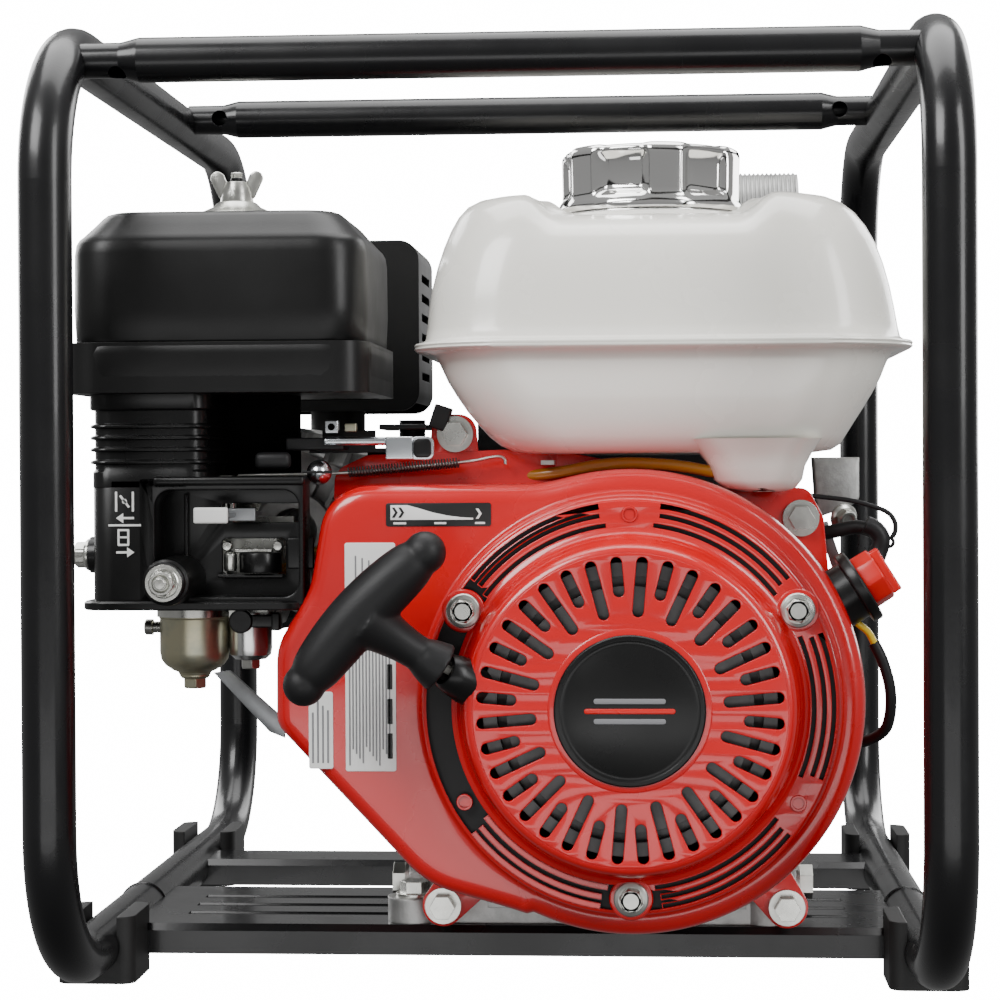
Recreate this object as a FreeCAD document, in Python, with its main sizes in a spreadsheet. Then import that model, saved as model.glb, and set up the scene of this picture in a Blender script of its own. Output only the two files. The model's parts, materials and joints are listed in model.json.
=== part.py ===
"""Petrol engine trash pump in a tubular carry frame, as a parametric FreeCAD document.

Row frame: +Z up, origin on the ground under the middle of the frame, +Y from the starter to the pump,
+X from the air cleaner to the fuel tank. All sizes are millimetres and angles are degrees.
"""

import FreeCAD, Part
import math
import os

import Sketcher

V = FreeCAD.Vector
X_AXIS, Y_AXIS, Z_AXIS = V(1, 0, 0), V(0, 1, 0), V(0, 0, 1)

doc = FreeCAD.newDocument("TrashPump")
sheet = doc.addObject("Spreadsheet::Sheet", "Dims")

DIMENSIONS = {
    # carry frame
    "hoop_gauge": 370.0,
    "hoop_depth": 456.0,
    "hoop_tube": 22.2,
    "hoop_wall": 1.8,
    "hoop_bend": 62.0,
    "hoop_low": 16.5,
    "hoop_high": 411.0,
    "cross_tube": 19.1,
    "cross_front_y": -195.0,
    "cross_front_z": 403.8,
    "cross_rear_y": 50.0,
    "cross_rear_z": 413.5,
    "cross_hole": 8.0,
    # base plates
    "plate_top": 21.4,
    "plate_lip": 13.5,
    "plate_steel": 3.0,
    "engine_plate_front": -118.0,
    "engine_plate_rear": -13.0,
    "pump_plate_front": 67.0,
    "pump_plate_rear": 103.0,
    # engine layout
    "crank_x": 55.0,
    "crank_z": 128.0,
    "bolt_left_x": -45.8,
    "bolt_span_x": 162.0,
    "bolt_front_y": -102.0,
    "bolt_span_y": 75.5,
    "case_front": -119.0,
    "case_rear": -6.0,
    "case_radius": 66.0,
    "case_wall": 6.0,
    "cylinder_y": -55.0,
    "cylinder_tilt": 25.0,
    "bore_radius": 34.0,
    "barrel_radius": 42.0,
    "deck_height": 130.0,
    "head_height": 62.0,
    "head_width": 88.0,
    "rocker_height": 36.0,
    "crank_throw": 22.5,
    "crank_pin": 15.0,
    "rod_length": 84.0,
    # starter and shroud
    "face_y": -205.0,
    "housing_flange_y": -186.0,
    "housing_radius": 89.0,
    "housing_bolt_circle": 81.7,
    "slot_outer": 64.5,
    "slot_inner_long": 38.0,
    "slot_inner_short": 48.5,
    "slot_width": 4.6,
    "shroud_front": -176.0,
    "shroud_back": -121.0,
    "shroud_steel": 2.0,
    "reel_radius": 31.4,
    # fuel tank
    "tank_seam": 283.0,
    "tank_top": 351.0,
    "tank_left": -34.0,
    "tank_right": 171.5,
    "tank_front": -166.0,
    "tank_back": 10.0,
    "tank_steel": 1.5,
    "tank_flange": 7.8,
    "cap_x": 64.0,
    "cap_y": -80.0,
    "cap_radius": 43.0,
    # air cleaner and carburettor
    "cleaner_left": -189.0,
    "cleaner_right": -60.0,
    "cleaner_front": -176.0,
    "cleaner_back": -60.0,
    "cleaner_low": 263.0,
    "cleaner_seam": 285.0,
    "cleaner_top": 343.0,
    "elbow_x": -142.0,
    "elbow_low": 168.0,
    "carb_x": -134.0,
    "carb_z": 190.0,
    # pump
    "pump_x": 55.0,
    "pump_front": 50.0,
    "pump_back": 190.0,
    "port_thread": 29.8,
    "port_bore": 25.0,
    "outlet_y": 92.0,
    "outlet_z": 356.0,
    "outlet_end": 141.0,
    "inlet_z": 245.0,
}

for row, (alias, number) in enumerate(DIMENSIONS.items(), 1):
    sheet.set(f"A{row}", alias)
    sheet.set(f"B{row}", str(number))
    sheet.setAlias(f"B{row}", alias)
doc.recompute()


class Size:
    """A number together with the spreadsheet expression that gives it."""

    def __init__(self, number, text):
        self.number, self.text = float(number), text

    def _join(self, other, sign, value):
        return Size(value, f"({self.text} {sign} {text_of(other)})")

    def __add__(self, other):
        return self._join(other, "+", self.number + number_of(other))

    def __sub__(self, other):
        return self._join(other, "-", self.number - number_of(other))

    def __mul__(self, other):
        return self._join(other, "*", self.number * number_of(other))

    def __truediv__(self, other):
        return self._join(other, "/", self.number / number_of(other))

    def __radd__(self, other):
        return Size(number_of(other), text_of(other)) + self

    def __rsub__(self, other):
        return Size(number_of(other), text_of(other)) - self

    def __rmul__(self, other):
        return self * other

    def __neg__(self):
        return Size(-self.number, f"(0 - {self.text})")


def number_of(value):
    return value.number if isinstance(value, Size) else float(value)


def text_of(value):
    return value.text if isinstance(value, Size) else repr(float(value))


D = {alias: Size(number, f"Dims.{alias}") for alias, number in DIMENSIONS.items()}
NODES = {}


def node(name, thing):
    """Names a finished sub-part, which is also the name of its file."""
    thing.Label = name
    NODES[name] = thing
    return thing


def bind(thing, prop, value):
    """Sets a property, from the spreadsheet where the value comes from it."""
    if "." not in prop:
        setattr(thing, prop, number_of(value))
    if isinstance(value, Size):
        thing.setExpression(prop, value.text)


def place(thing, at=(0, 0, 0), axis=Z_AXIS, angle=0.0):
    """Turns a thing about its own origin and moves it to a point bound to the spreadsheet."""
    thing.Placement = FreeCAD.Placement(V(*map(number_of, at)), FreeCAD.Rotation(axis, angle))
    for letter, value in zip("xyz", at):
        if isinstance(value, Size):
            thing.setExpression(f"Placement.Base.{letter}", value.text)
    return thing


def box(size, at, axis=Z_AXIS, angle=0.0):
    thing = doc.addObject("Part::Box", "Box")
    for prop, value in zip(("Length", "Width", "Height"), size):
        bind(thing, prop, value)
    return place(thing, at, axis, angle)


AIM = {
    "x": (Y_AXIS, 90.0), "-x": (Y_AXIS, -90.0), "y": (X_AXIS, -90.0), "-y": (X_AXIS, 90.0),
    "z": (Z_AXIS, 0.0), "-z": (X_AXIS, 180.0)}


def rod(radius, height, at, along="z", turn=None):
    """A cylinder that starts at a point and runs along a direction."""
    thing = doc.addObject("Part::Cylinder", "Cylinder")
    bind(thing, "Radius", radius)
    bind(thing, "Height", height)
    axis, angle = turn or AIM[along]
    return place(thing, at, axis, angle)


def cone(radius_a, radius_b, height, at, along="z", turn=None):
    thing = doc.addObject("Part::Cone", "Cone")
    bind(thing, "Radius1", radius_a)
    bind(thing, "Radius2", radius_b)
    bind(thing, "Height", height)
    axis, angle = turn or AIM[along]
    return place(thing, at, axis, angle)


def prism(across_flats, height, at, along="z", sides=6, turn=None):
    """A hexagon bar, as for a bolt head or a nut."""
    thing = doc.addObject("Part::Prism", "Prism")
    thing.Polygon = sides
    bind(thing, "Circumradius", across_flats * (0.5 / math.cos(math.pi / sides)))
    bind(thing, "Height", height)
    axis, angle = turn or AIM[along]
    return place(thing, at, axis, angle)


def fuse(*things):
    if len(things) == 1:
        return things[0]
    made = doc.addObject("Part::MultiFuse", "Fusion")
    made.Shapes = list(things)
    return made


def cut(base, *tools):
    made = doc.addObject("Part::Cut", "Cut")
    made.Base = base
    made.Tool = fuse(*tools)
    return made


def group(*things):
    """Separate solids that share one node."""
    made = doc.addObject("Part::Compound", "Group")
    made.Links = list(things)
    return made


def body_with(name):
    return doc.addObject("PartDesign::Body", name)


def origin_plane(body, role):
    return next(f for f in body.Origin.OriginFeatures if f.Role == role)


def new_sketch(body, role, offset=0.0):
    sketch = body.newObject("Sketcher::SketchObject", "Profile")
    sketch.AttachmentSupport = [(origin_plane(body, role), "")]
    sketch.MapMode = "FlatFace"
    sketch.AttachmentOffset = FreeCAD.Placement(V(0, 0, number_of(offset)), FreeCAD.Rotation())
    if isinstance(offset, Size):
        sketch.setExpression("AttachmentOffset.Base.z", offset.text)
    return sketch


def hold(sketch, kind, *where):
    """Adds a dimension constraint whose value, the last argument, is bound to the spreadsheet."""
    value = where[-1]
    index = sketch.addConstraint(Sketcher.Constraint(kind, *where[:-1], number_of(value)))
    if isinstance(value, Size):
        sketch.setExpression(f"Constraints[{index}]", value.text)


def polygon(body, role, points, offset=0.0):
    """A closed outline of straight lines whose corners are bound to the spreadsheet."""
    sketch = new_sketch(body, role, offset)
    flat = [V(number_of(u), number_of(v), 0) for u, v in points]
    count = len(flat)
    for i in range(count):
        sketch.addGeometry(Part.LineSegment(flat[i], flat[(i + 1) % count]), False)
    for i in range(count):
        sketch.addConstraint(Sketcher.Constraint("Coincident", i, 2, (i + 1) % count, 1))
    for i, (u, v) in enumerate(points):
        hold(sketch, "DistanceX", -1, 1, i, 1, u)
        hold(sketch, "DistanceY", -1, 1, i, 1, v)
    return sketch


def rounded(body, role, low, high, radius, offset=0.0):
    """A rectangle with round corners, its sides and radius bound to the spreadsheet."""
    sketch = new_sketch(body, role, offset)
    (a, b), (c, d), r = map(number_of, low), map(number_of, high), number_of(radius)
    quarter = math.pi / 2
    corners = [(c - r, b + r, 3), (c - r, d - r, 0), (a + r, d - r, 1), (a + r, b + r, 2)]
    lines = [
        ((a + r, b), (c - r, b)), ((c, b + r), (c, d - r)), ((c - r, d), (a + r, d)),
        ((a, d - r), (a, b + r))]
    for (start, end), (x, y, turn) in zip(lines, corners):
        sketch.addGeometry(Part.LineSegment(V(*start, 0), V(*end, 0)), False)
        circle = Part.Circle(V(x, y, 0), Z_AXIS, r)
        sketch.addGeometry(Part.ArcOfCircle(circle, turn * quarter, (turn + 1) * quarter), False)
    for i in range(0, 8, 2):
        sketch.addConstraint(Sketcher.Constraint("Tangent", i, 2, i + 1, 1))
        sketch.addConstraint(Sketcher.Constraint("Tangent", i + 1, 2, (i + 2) % 8, 1))
    for i, way in ((0, "Horizontal"), (2, "Vertical"), (4, "Horizontal"), (6, "Vertical")):
        sketch.addConstraint(Sketcher.Constraint(way, i))
    for i in (3, 5, 7):
        sketch.addConstraint(Sketcher.Constraint("Equal", 1, i))
    hold(sketch, "Radius", 1, radius)
    hold(sketch, "DistanceY", -1, 1, 0, 1, low[1])
    hold(sketch, "DistanceX", -1, 1, 2, 1, high[0])
    hold(sketch, "DistanceY", -1, 1, 4, 1, high[1])
    hold(sketch, "DistanceX", -1, 1, 6, 1, low[0])
    return sketch


def pad(body, sketch, length, middle=False, backwards=False):
    feature = body.newObject("PartDesign::Pad", "Pad")
    feature.Profile = sketch
    bind(feature, "Length", length)
    feature.Midplane = middle
    feature.Reversed = backwards
    return feature


def loft(body, sketches, remove=False):
    kind = "PartDesign::SubtractiveLoft" if remove else "PartDesign::AdditiveLoft"
    feature = body.newObject(kind, "Loft")
    feature.Profile = sketches[0]
    feature.Sections = sketches[1:]
    feature.Ruled = True
    return feature


def polar(radius, degrees):
    """(x, z) at an angle about the crank axis, counted from +X towards +Z."""
    angle = math.radians(degrees)
    return (D["crank_x"] + radius * math.cos(angle), D["crank_z"] + radius * math.sin(angle))


# Directions of the sloping cylinder: along its axis, and across it in the X-Z plane.
TILT = math.radians(DIMENSIONS["cylinder_tilt"])
TILT_TURN = (Y_AXIS, DIMENSIONS["cylinder_tilt"] - 90.0)


def bore_point(distance, across=0.0, y=None):
    """A point in the sloping cylinder's own frame: distance from the crank axis, and across the bore."""
    x = D["crank_x"] - distance * math.cos(TILT) + across * math.sin(TILT)
    z = D["crank_z"] + distance * math.sin(TILT) + across * math.cos(TILT)
    return (x, D["cylinder_y"] if y is None else y, z)


def bore_box(size, distance, across, y):
    """A box whose height runs up the sloping cylinder, from a corner in that cylinder's frame."""
    return box(size, bore_point(distance, across, y), *TILT_TURN)


# ---------------------------------------------------------------- carry frame
HOOP_R = D["hoop_tube"] / 2
TUBE_IN = D["hoop_gauge"] / 2 - HOOP_R


BEND_CORNERS = [(1, 1, 0), (-1, 1, 1), (-1, -1, 2), (1, -1, 3)]


def bent_bar(radius, side):
    """A closed hoop of round bar in a plane across X: four straight runs and four quarter bends."""
    x = D["hoop_gauge"] * (side * 0.5)
    half, bend, low, high = D["hoop_depth"] / 2, D["hoop_bend"], D["hoop_low"], D["hoop_high"]
    runs = [rod(radius, D["hoop_depth"] - bend * 2, (x, bend - half, z), "y") for z in (low, high)]
    runs += [rod(radius, high - low - bend * 2, (x, y, low + bend)) for y in (-half, half)]
    for front, top, quarter in BEND_CORNERS:
        torus = doc.addObject("Part::Torus", "Bend")
        bind(torus, "Radius1", bend)
        bind(torus, "Radius2", radius)
        torus.Angle3 = 90
        turn = FreeCAD.Rotation(V(1, 1, 1), 120) * FreeCAD.Rotation(Z_AXIS, 90 * quarter)
        level = high - bend if top > 0 else low + bend
        place(torus, (x, (half - bend) * front, level), turn.Axis, math.degrees(turn.Angle))
        runs.append(torus)
    return fuse(*runs)


HOOP_BARS = [bent_bar(HOOP_R, side) for side in (-1, 1)]


def frame_hoop(name, side, bar):
    """One hoop of bent tube, with the weld bead that joins its two ends."""
    x = D["hoop_gauge"] * (side * 0.5)
    bead = doc.addObject("Part::Torus", "Weld")
    bind(bead, "Radius1", HOOP_R - 0.4)
    bind(bead, "Radius2", 1.3)
    place(bead, (x, -45, D["hoop_low"]), X_AXIS, 90)
    return node(name, cut(fuse(bar, bead), bent_bar(HOOP_R - D["hoop_wall"], side)))


def cross_tube(y, z, hole_turn):
    """A tube between the hoops, necked and drilled near each welded end."""
    reach = TUBE_IN + 4
    neck = 26
    tube_r = D["cross_tube"] / 2
    outer = [rod(tube_r, (reach - neck) * 2, (neck - reach, y, z), "x")]
    for side, along in ((-1, "-x"), (1, "x")):
        shoulder = ((reach - neck) * side, y, z)
        outer += [
            cone(tube_r, tube_r - 2.0, 8, shoulder, along), rod(tube_r - 2.0, neck, shoulder, along)]
    inside = rod(tube_r - 3.6, reach * 2 + 2, (-1 - reach, y, z), "x")
    holes = [
        rod(D["cross_hole"] / 2, 12, ((TUBE_IN - 13) * side, y, z), turn=hole_turn) for side in (-1, 1)]
    return cut(fuse(*outer), inside, *holes, *HOOP_BARS)


for hoop_name, hoop_side, hoop_bar in zip(("frame_hoop_left", "frame_hoop_right"), (-1, 1), HOOP_BARS):
    frame_hoop(hoop_name, hoop_side, hoop_bar)
node("cross_tubes", group(cross_tube(D["cross_front_y"], D["cross_front_z"], (X_AXIS, 150.0)),
                          cross_tube(D["cross_rear_y"], D["cross_rear_z"], (X_AXIS, 90.0))))


ENGINE_BOLTS = [(D["bolt_left_x"] + D["bolt_span_x"] * i, D["bolt_front_y"] + D["bolt_span_y"] * j)
                for i in (0, 1) for j in (0, 1)]
PUMP_BOLTS = [(D["pump_x"] - 34, (D["pump_plate_front"] + D["pump_plate_rear"]) / 2),
              (D["pump_x"] + 34, (D["pump_plate_front"] + D["pump_plate_rear"]) / 2)]


def pressed_plate(front, rear, rib_lines, bolts):
    """A channel of bent sheet between the hoops, lips down, with grooves pressed along its top."""
    top, steel = D["plate_top"], D["plate_steel"]
    length = TUBE_IN + 5
    low = top - D["plate_lip"]
    body = body_with("Channel")
    corners = [
        (front, low), (front, top - 3), (front + 3, top), (rear - 3, top), (rear, top - 3), (rear, low),
        (rear - steel, low), (rear - steel, top - steel - 2), (rear - steel - 2, top - steel),
        (front + steel + 2, top - steel), (front + steel, top - steel - 2), (front + steel, low)]
    pad(body, polygon(body, "YZ_Plane", corners), length * 2, middle=True)
    grooves = [rod(6.0, TUBE_IN * 2 - 40, (20 - TUBE_IN, y, top + 4.6), "x") for y in rib_lines]
    drills = [rod(4.5, 20, (x, y, top - 10)) for x, y in bolts]
    return cut(body, *grooves, *drills, *HOOP_BARS)


node("base_plates",
     group(pressed_plate(D["engine_plate_front"], D["engine_plate_rear"], (-88, -66, -44), ENGINE_BOLTS),
                          pressed_plate(D["pump_plate_front"], D["pump_plate_rear"], (), PUMP_BOLTS)))


def rubber_foot(x, y):
    """A moulded saddle under the bottom tube, with a cheek up each side of it."""
    body = body_with("Foot")
    low, high = (x - 17.5, y - 20), (x + 17.5, y + 20)
    pad(body, rounded(body, "XY_Plane", low, high, 6.0), 30.0)
    tube = rod(HOOP_R, 60, (x, y - 30, D["hoop_low"]), "y")
    mouth = box((HOOP_R * 1.8, 60, 30), (x - HOOP_R * 0.9, y - 30, D["hoop_low"]))
    plate = box((TUBE_IN * 2 + 12, 60, D["plate_lip"] + 0.4),
                (-6 - TUBE_IN, D["engine_plate_front"] - 0.2, D["plate_top"] - D["plate_lip"] - 0.2))
    return cut(body, tube, mouth, plate)


FOOT_X = D["hoop_gauge"] / 2
node("rubber_feet", group(*[rubber_foot(FOOT_X * side, y) for side in (-1, 1) for y in (-129, 129)]))


def mount_bolt(x, y, grip):
    """A flange bolt down through a foot and a plate, with its flange nut underneath."""
    top = D["plate_top"] + grip
    under = D["plate_top"] - D["plate_steel"]
    nut = fuse(prism(12.0, 6.5, (x, y, under), "-z"), rod(8.8, 1.4, (x, y, under), "-z"))
    bolt = fuse(
        rod(8.8, 1.6, (x, y, top)), prism(12.0, 7, (x, y, top)), rod(4.0, grip + 13, (x, y, top), "-z"))
    return fuse(bolt, nut)


FASTENERS = [mount_bolt(x, y, 11.0) for x, y in ENGINE_BOLTS + PUMP_BOLTS]

# ---------------------------------------------------------------- engine castings
CX, CZ = D["crank_x"], D["crank_z"]
MAIN_R = 12.5
BEARING_R = 26.0
CAM_X, CAM_Z = CX - 18.06, CZ - 49.62
CASE_LENGTH = D["case_rear"] - D["case_front"]
CASE_IN = D["case_radius"] - D["case_wall"]
SUMP_RIGHT = 45.0


def case_shape(grow, front, length):
    """The case's outline: a drum about the crank with a square sump below for the camshaft."""
    radius = CASE_IN + grow
    drum = rod(radius, length, (CX, front, CZ), "y")
    sump = box(
        (radius + SUMP_RIGHT + grow, length, 92.0 + grow * 2), (CX - radius, front, CZ - 92 - grow))
    return fuse(drum, sump)


def crankcase():
    """Die-cast case with the finned barrel in one piece, open at the rear for the side cover."""
    wall = D["case_wall"]
    outer = [case_shape(wall, D["case_front"], CASE_LENGTH)]
    outer.append(rod(D["barrel_radius"], D["deck_height"] - 40, bore_point(40), turn=TILT_TURN))
    for k in range(7):
        outer.append(bore_box((104, 100, 2.2), 70 + k * 9, -52.0, D["cylinder_y"] - 50))
    for x, y in ENGINE_BOLTS:
        outer.append(rod(12.5, 11, (x, y, D["plate_top"])))
    for y in (D["bolt_front_y"], D["bolt_front_y"] + D["bolt_span_y"]):
        outer.append(box((D["bolt_span_x"], 19.0, 11.0), (D["bolt_left_x"], y - 9.5, D["plate_top"])))
    outer.append(rod(11, DRAIN_RIGHT - DRAIN_LEFT, (DRAIN_LEFT, DRAIN_Y, DRAIN_Z), "x"))
    tools = [case_shape(Size(0, "0"), D["case_front"] + wall, CASE_LENGTH)]
    tools.append(rod(D["bore_radius"], D["deck_height"], bore_point(30), turn=TILT_TURN))
    tools.append(rod(BEARING_R, 12, (CX, D["case_front"] - 1, CZ), "y"))
    tools.append(rod(9.05, 6, (CAM_X, D["case_front"] + wall - 4, CAM_Z), "y"))
    tools += [rod(4.2, 14, (x, y, D["plate_top"] - 1)) for x, y in ENGINE_BOLTS]
    tools.append(rod(8.0, DRAIN_RIGHT - DRAIN_LEFT + 2, (DRAIN_LEFT - 1, DRAIN_Y, DRAIN_Z), "x"))
    tools.append(rod(10.2, 30, (DIPSTICK_X, DIPSTICK_Y, DIPSTICK_Z), "x"))
    tools.append(rod(3.06, 40, (*GOVERNOR_AT, CZ + 36)))
    return node("crankcase", cut(fuse(*outer), *tools))


DRAIN_Y, DRAIN_Z = -79.0, 36.0
DRAIN_LEFT, DRAIN_RIGHT = -50.0, 130.0
GOVERNOR_AT = (18.0, -106.0)
DRAIN_SPOTS = [(DRAIN_RIGHT, "x"), (DRAIN_LEFT, "-x")]
DIPSTICK_X, DIPSTICK_Y, DIPSTICK_Z = CX + CASE_IN - 12, -44.0, CZ - 12
crankcase()

cover_front = D["case_rear"]
COVER_LENGTH = D["pump_front"] - 25 - D["case_rear"]


def side_cover():
    """The case's rear cover, which holds the rear main bearing and takes the pump's flange."""
    plate = case_shape(D["case_wall"] - 0.0, cover_front, Size(8, "8"))
    boss = rod(48, COVER_LENGTH, (CX, cover_front, CZ), "y")
    tools = [
        rod(BEARING_R, 16, (CX, cover_front - 1, CZ), "y"), rod(19, 60, (CX, cover_front - 1, CZ), "y"),
        rod(9.05, 5, (CAM_X, cover_front - 1, CAM_Z), "y")]
    tools += [rod(4, 60, (CX + 38 * math.cos(a), cover_front + 9, CZ + 38 * math.sin(a)), "y")
              for a in COVER_ANGLES]
    return node("crankcase_cover", cut(fuse(plate, boss), *tools))


COVER_ANGLES = [math.radians(45 + 90 * k) for k in range(4)]
side_cover()

HEAD_LOW, HEAD_TOP = D["deck_height"], D["deck_height"] + D["head_height"]
HEAD_W = D["head_width"]


def cylinder_head():
    """Finned head with its combustion dish, the inlet boss to the front and the exhaust boss behind."""
    half = HEAD_W / 2
    core = bore_box((70, 70, D["head_height"]), HEAD_LOW, -35.0, D["cylinder_y"] - 35)
    fins = [bore_box((HEAD_W, HEAD_W, 2.4), HEAD_LOW + 4 + 9.5 * k, -half, D["cylinder_y"] - half)
            for k in range(5)]
    flange = bore_box((HEAD_W, HEAD_W, 6), HEAD_TOP - 6, -half, D["cylinder_y"] - half)
    inlet = rod(18, 22, (INLET_X, INLET_FACE, INLET_Z), "y")
    outlet = rod(18, 28, (EXHAUST_X, D["cylinder_y"] + 20, EXHAUST_Z), "y")
    ports = [
        rod(11, 40, (INLET_X, INLET_FACE - 1, INLET_Z), "y"),
        rod(11, 40, (EXHAUST_X, D["cylinder_y"] + 12, EXHAUST_Z), "y"),
        rod(30, 7, bore_point(HEAD_LOW - 1), turn=TILT_TURN), rod(5.1, 34, PLUG_SEAT, turn=PLUG_TURN),
        rod(11.5, 70, plug_point(29), turn=PLUG_TURN)]
    return node("cylinder_head", cut(fuse(core, flange, *fins, inlet, outlet), *ports))


INLET_X, INLET_Z = bore_point(172)[0], bore_point(172)[2]
INLET_FACE = -106.0
EXHAUST_X, EXHAUST_Z = bore_point(168)[0], bore_point(168)[2]
PLUG_SEAT = bore_point(HEAD_LOW + 4, -14.0)
PLUG_TURN = (Y_AXIS, DIMENSIONS["cylinder_tilt"] - 90.0 - 38.0)


def plug_point(step):
    """A point along the spark plug's axis, counted outwards from its seat."""
    return tuple(V(*map(number_of, PLUG_SEAT)) + FreeCAD.Rotation(*PLUG_TURN).multVec(Z_AXIS) * step)


cylinder_head()


def rocker_cover():
    """Pressed cover over the valve gear, hollow, with a flange and its four screws' ears."""
    body = body_with("rocker_cover")
    high = number_of(D["rocker_height"])
    outer = [rounded(body, "XY_Plane", (-34, -38), (34, 38), 14.0),
             rounded(body, "XY_Plane", (-29, -33), (29, 33), 12.0, D["rocker_height"])]
    loft(body, outer)
    inner = [rounded(body, "XY_Plane", (-32, -36), (32, 36), 12.0, Size(-1, "-1")),
             rounded(body, "XY_Plane", (-27, -31), (27, 31), 10.0, D["rocker_height"] - 2)]
    loft(body, inner, remove=True)
    place(body, bore_point(HEAD_TOP), *TILT_TURN)
    return node("rocker_cover", body)


rocker_cover()


def spark_plug():
    """Plug body, insulator and the moulded cap over it, on one sloping axis."""
    parts = [rod(5.0, 35, PLUG_SEAT, turn=PLUG_TURN), prism(16.0, 12, plug_point(34), turn=PLUG_TURN),
             rod(6, 18, plug_point(44), turn=PLUG_TURN)]
    cap = fuse(rod(9, 30, plug_point(60), turn=PLUG_TURN), rod(7, 4, plug_point(57), turn=PLUG_TURN))
    return node("spark_plug", fuse(*parts, cap))


spark_plug()


def drain_plug(x, along):
    face = (x, DRAIN_Y, DRAIN_Z)
    back = "-x" if along == "x" else "x"
    return fuse(rod(10, 2, face, along), prism(14.0, 8, face, along), rod(7.9, 6, face, back))


FASTENERS += [drain_plug(*spot) for spot in DRAIN_SPOTS]


def dipstick():
    """Filler cap with a thumb bar, its threaded plug and the dipstick below the cap."""
    face = CX + CASE_IN + D["case_wall"] + 0.2
    at = (face, DIPSTICK_Y, DIPSTICK_Z)
    return node(
        "oil_filler_dipstick",
        fuse(
            rod(14, 5, at, "x"), box((12, 26, 5), (face, DIPSTICK_Y - 13, DIPSTICK_Z - 2.5)),
            rod(10.15, 10, at, "-x"), rod(2.2, 17, at, "-x")))


dipstick()

# ---------------------------------------------------------------- crank train
WEB_FRONT, WEB_REAR, WEB = -83.0, -44.0, 14.0
PIN_AT = bore_point(D["crank_throw"], 0.0, WEB_FRONT + WEB + 0.2)


def crankshaft():
    """Shaft, two round webs that swing past the fixed crank pin, drive gear and pump end."""
    spans = [
        (7.9, -179, -156), (11.0, -157.9, -126), (MAIN_R, -128, WEB_FRONT + 2),
        (38, WEB_FRONT, WEB_FRONT + WEB), (38, WEB_REAR, WEB_REAR + WEB), (MAIN_R, WEB_REAR + 6, 14),
        (9.5, 12, 104)]
    shaft = [rod(r, end - start, (CX, start, CZ), "y") for r, start, end in spans]
    return node("crankshaft", fuse(*shaft, gear(CX, CZ, GEAR_FRONT, 22, 0.0)))


def gear(x, z, front, teeth, phase, bore=None):
    """A spur gear of straight-sided teeth, its pitch radius in step with its number of teeth."""
    pitch = GEAR_MODULE * teeth / 2
    points = []
    for k in range(teeth):
        for offset, radius in ((-0.30, -1.9), (-0.11, 1.35), (0.11, 1.35), (0.30, -1.9)):
            angle = 2 * math.pi * (k + offset + phase) / teeth
            points.append(V((pitch + radius) * math.cos(angle), 0, (pitch + radius) * math.sin(angle)))
    face = Part.Face(Part.makePolygon(points + points[:1]))
    wheel = doc.addObject("Part::Feature", "Gear")
    wheel.Shape = face.extrude(V(0, 9, 0))
    return place(wheel, (x, front, z))


GEAR_FRONT = -28.5
GEAR_MODULE = 52.8 * 2 / 66
CAM_ANGLE = math.degrees(math.atan2(-49.62, -18.06))
crankshaft()


def connecting_rod():
    """Big end round the crank pin, shank and small end round the gudgeon pin, with the crank pin."""
    y = (WEB_FRONT + WEB + WEB_REAR) / 2
    big = rod(21, 18, bore_point(D["crank_throw"], 0.0, y - 9), "y")
    small_at = D["crank_throw"] + D["rod_length"]
    small = rod(12, 16, bore_point(small_at, 0.0, y - 8), "y")
    shank = bore_box((12, 10, D["rod_length"]), D["crank_throw"], -6.0, y - 5)
    bores = [rod(D["crank_pin"] + 0.02, 30, bore_point(D["crank_throw"], 0.0, y - 15), "y"),
             rod(7.51, 30, bore_point(small_at, 0.0, y - 15), "y")]
    crank_pin = rod(D["crank_pin"], WEB_REAR - WEB_FRONT - WEB - 0.4, PIN_AT, "y")
    return node("connecting_rod", group(cut(fuse(big, small, shank), *bores), crank_pin))


connecting_rod()


def piston():
    """Piston with ring grooves and its gudgeon pin."""
    crown = D["deck_height"] - 1
    skirt = crown - 44
    small_at = D["crank_throw"] + D["rod_length"]
    y = D["cylinder_y"]
    barrel = rod(D["bore_radius"] - 0.06, 44, bore_point(skirt), turn=TILT_TURN)
    hollow = [
        rod(28, 36, bore_point(skirt - 1), turn=TILT_TURN),
        rod(7.5, 80, bore_point(small_at, 0.0, y - 40), "y")]
    rings = [cut(rod(36, 1.5, bore_point(crown - d), turn=TILT_TURN),
                 rod(31, 1.5, bore_point(crown - d), turn=TILT_TURN)) for d in (6, 11, 17)]
    pin = rod(7.49, 58, bore_point(small_at, 0.0, y - 29), "y")
    return node("piston", fuse(cut(barrel, *hollow, *rings), pin))


piston()


def camshaft():
    """Camshaft below the crank, with its half-speed gear and two lobes."""
    spans = [(9.0, D["case_front"] + D["case_wall"] - 3.5, -22.0), (9.0, -24.0, D["case_rear"] + 3.5)]
    shaft = [rod(r, end - start, (CAM_X, start, CAM_Z), "y") for r, start, end in spans]
    lobes = [fuse(rod(12.0, 9, (CAM_X, y, CAM_Z), "y"), rod(9.0, 9, (CAM_X + dx, y, CAM_Z + dz), "y"))
             for y, dx, dz in ((-78, -4.6, 0), (-60, 0, -4.6))]
    facing_tooth = (CAM_ANGLE + 180.0) / 360.0 * 44
    crank_tooth = CAM_ANGLE / 360.0 * 22
    wheel = gear(CAM_X, CAM_Z, GEAR_FRONT, 44, facing_tooth + crank_tooth - 0.5)
    return node("camshaft", fuse(*shaft, *lobes, wheel))


camshaft()


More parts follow.
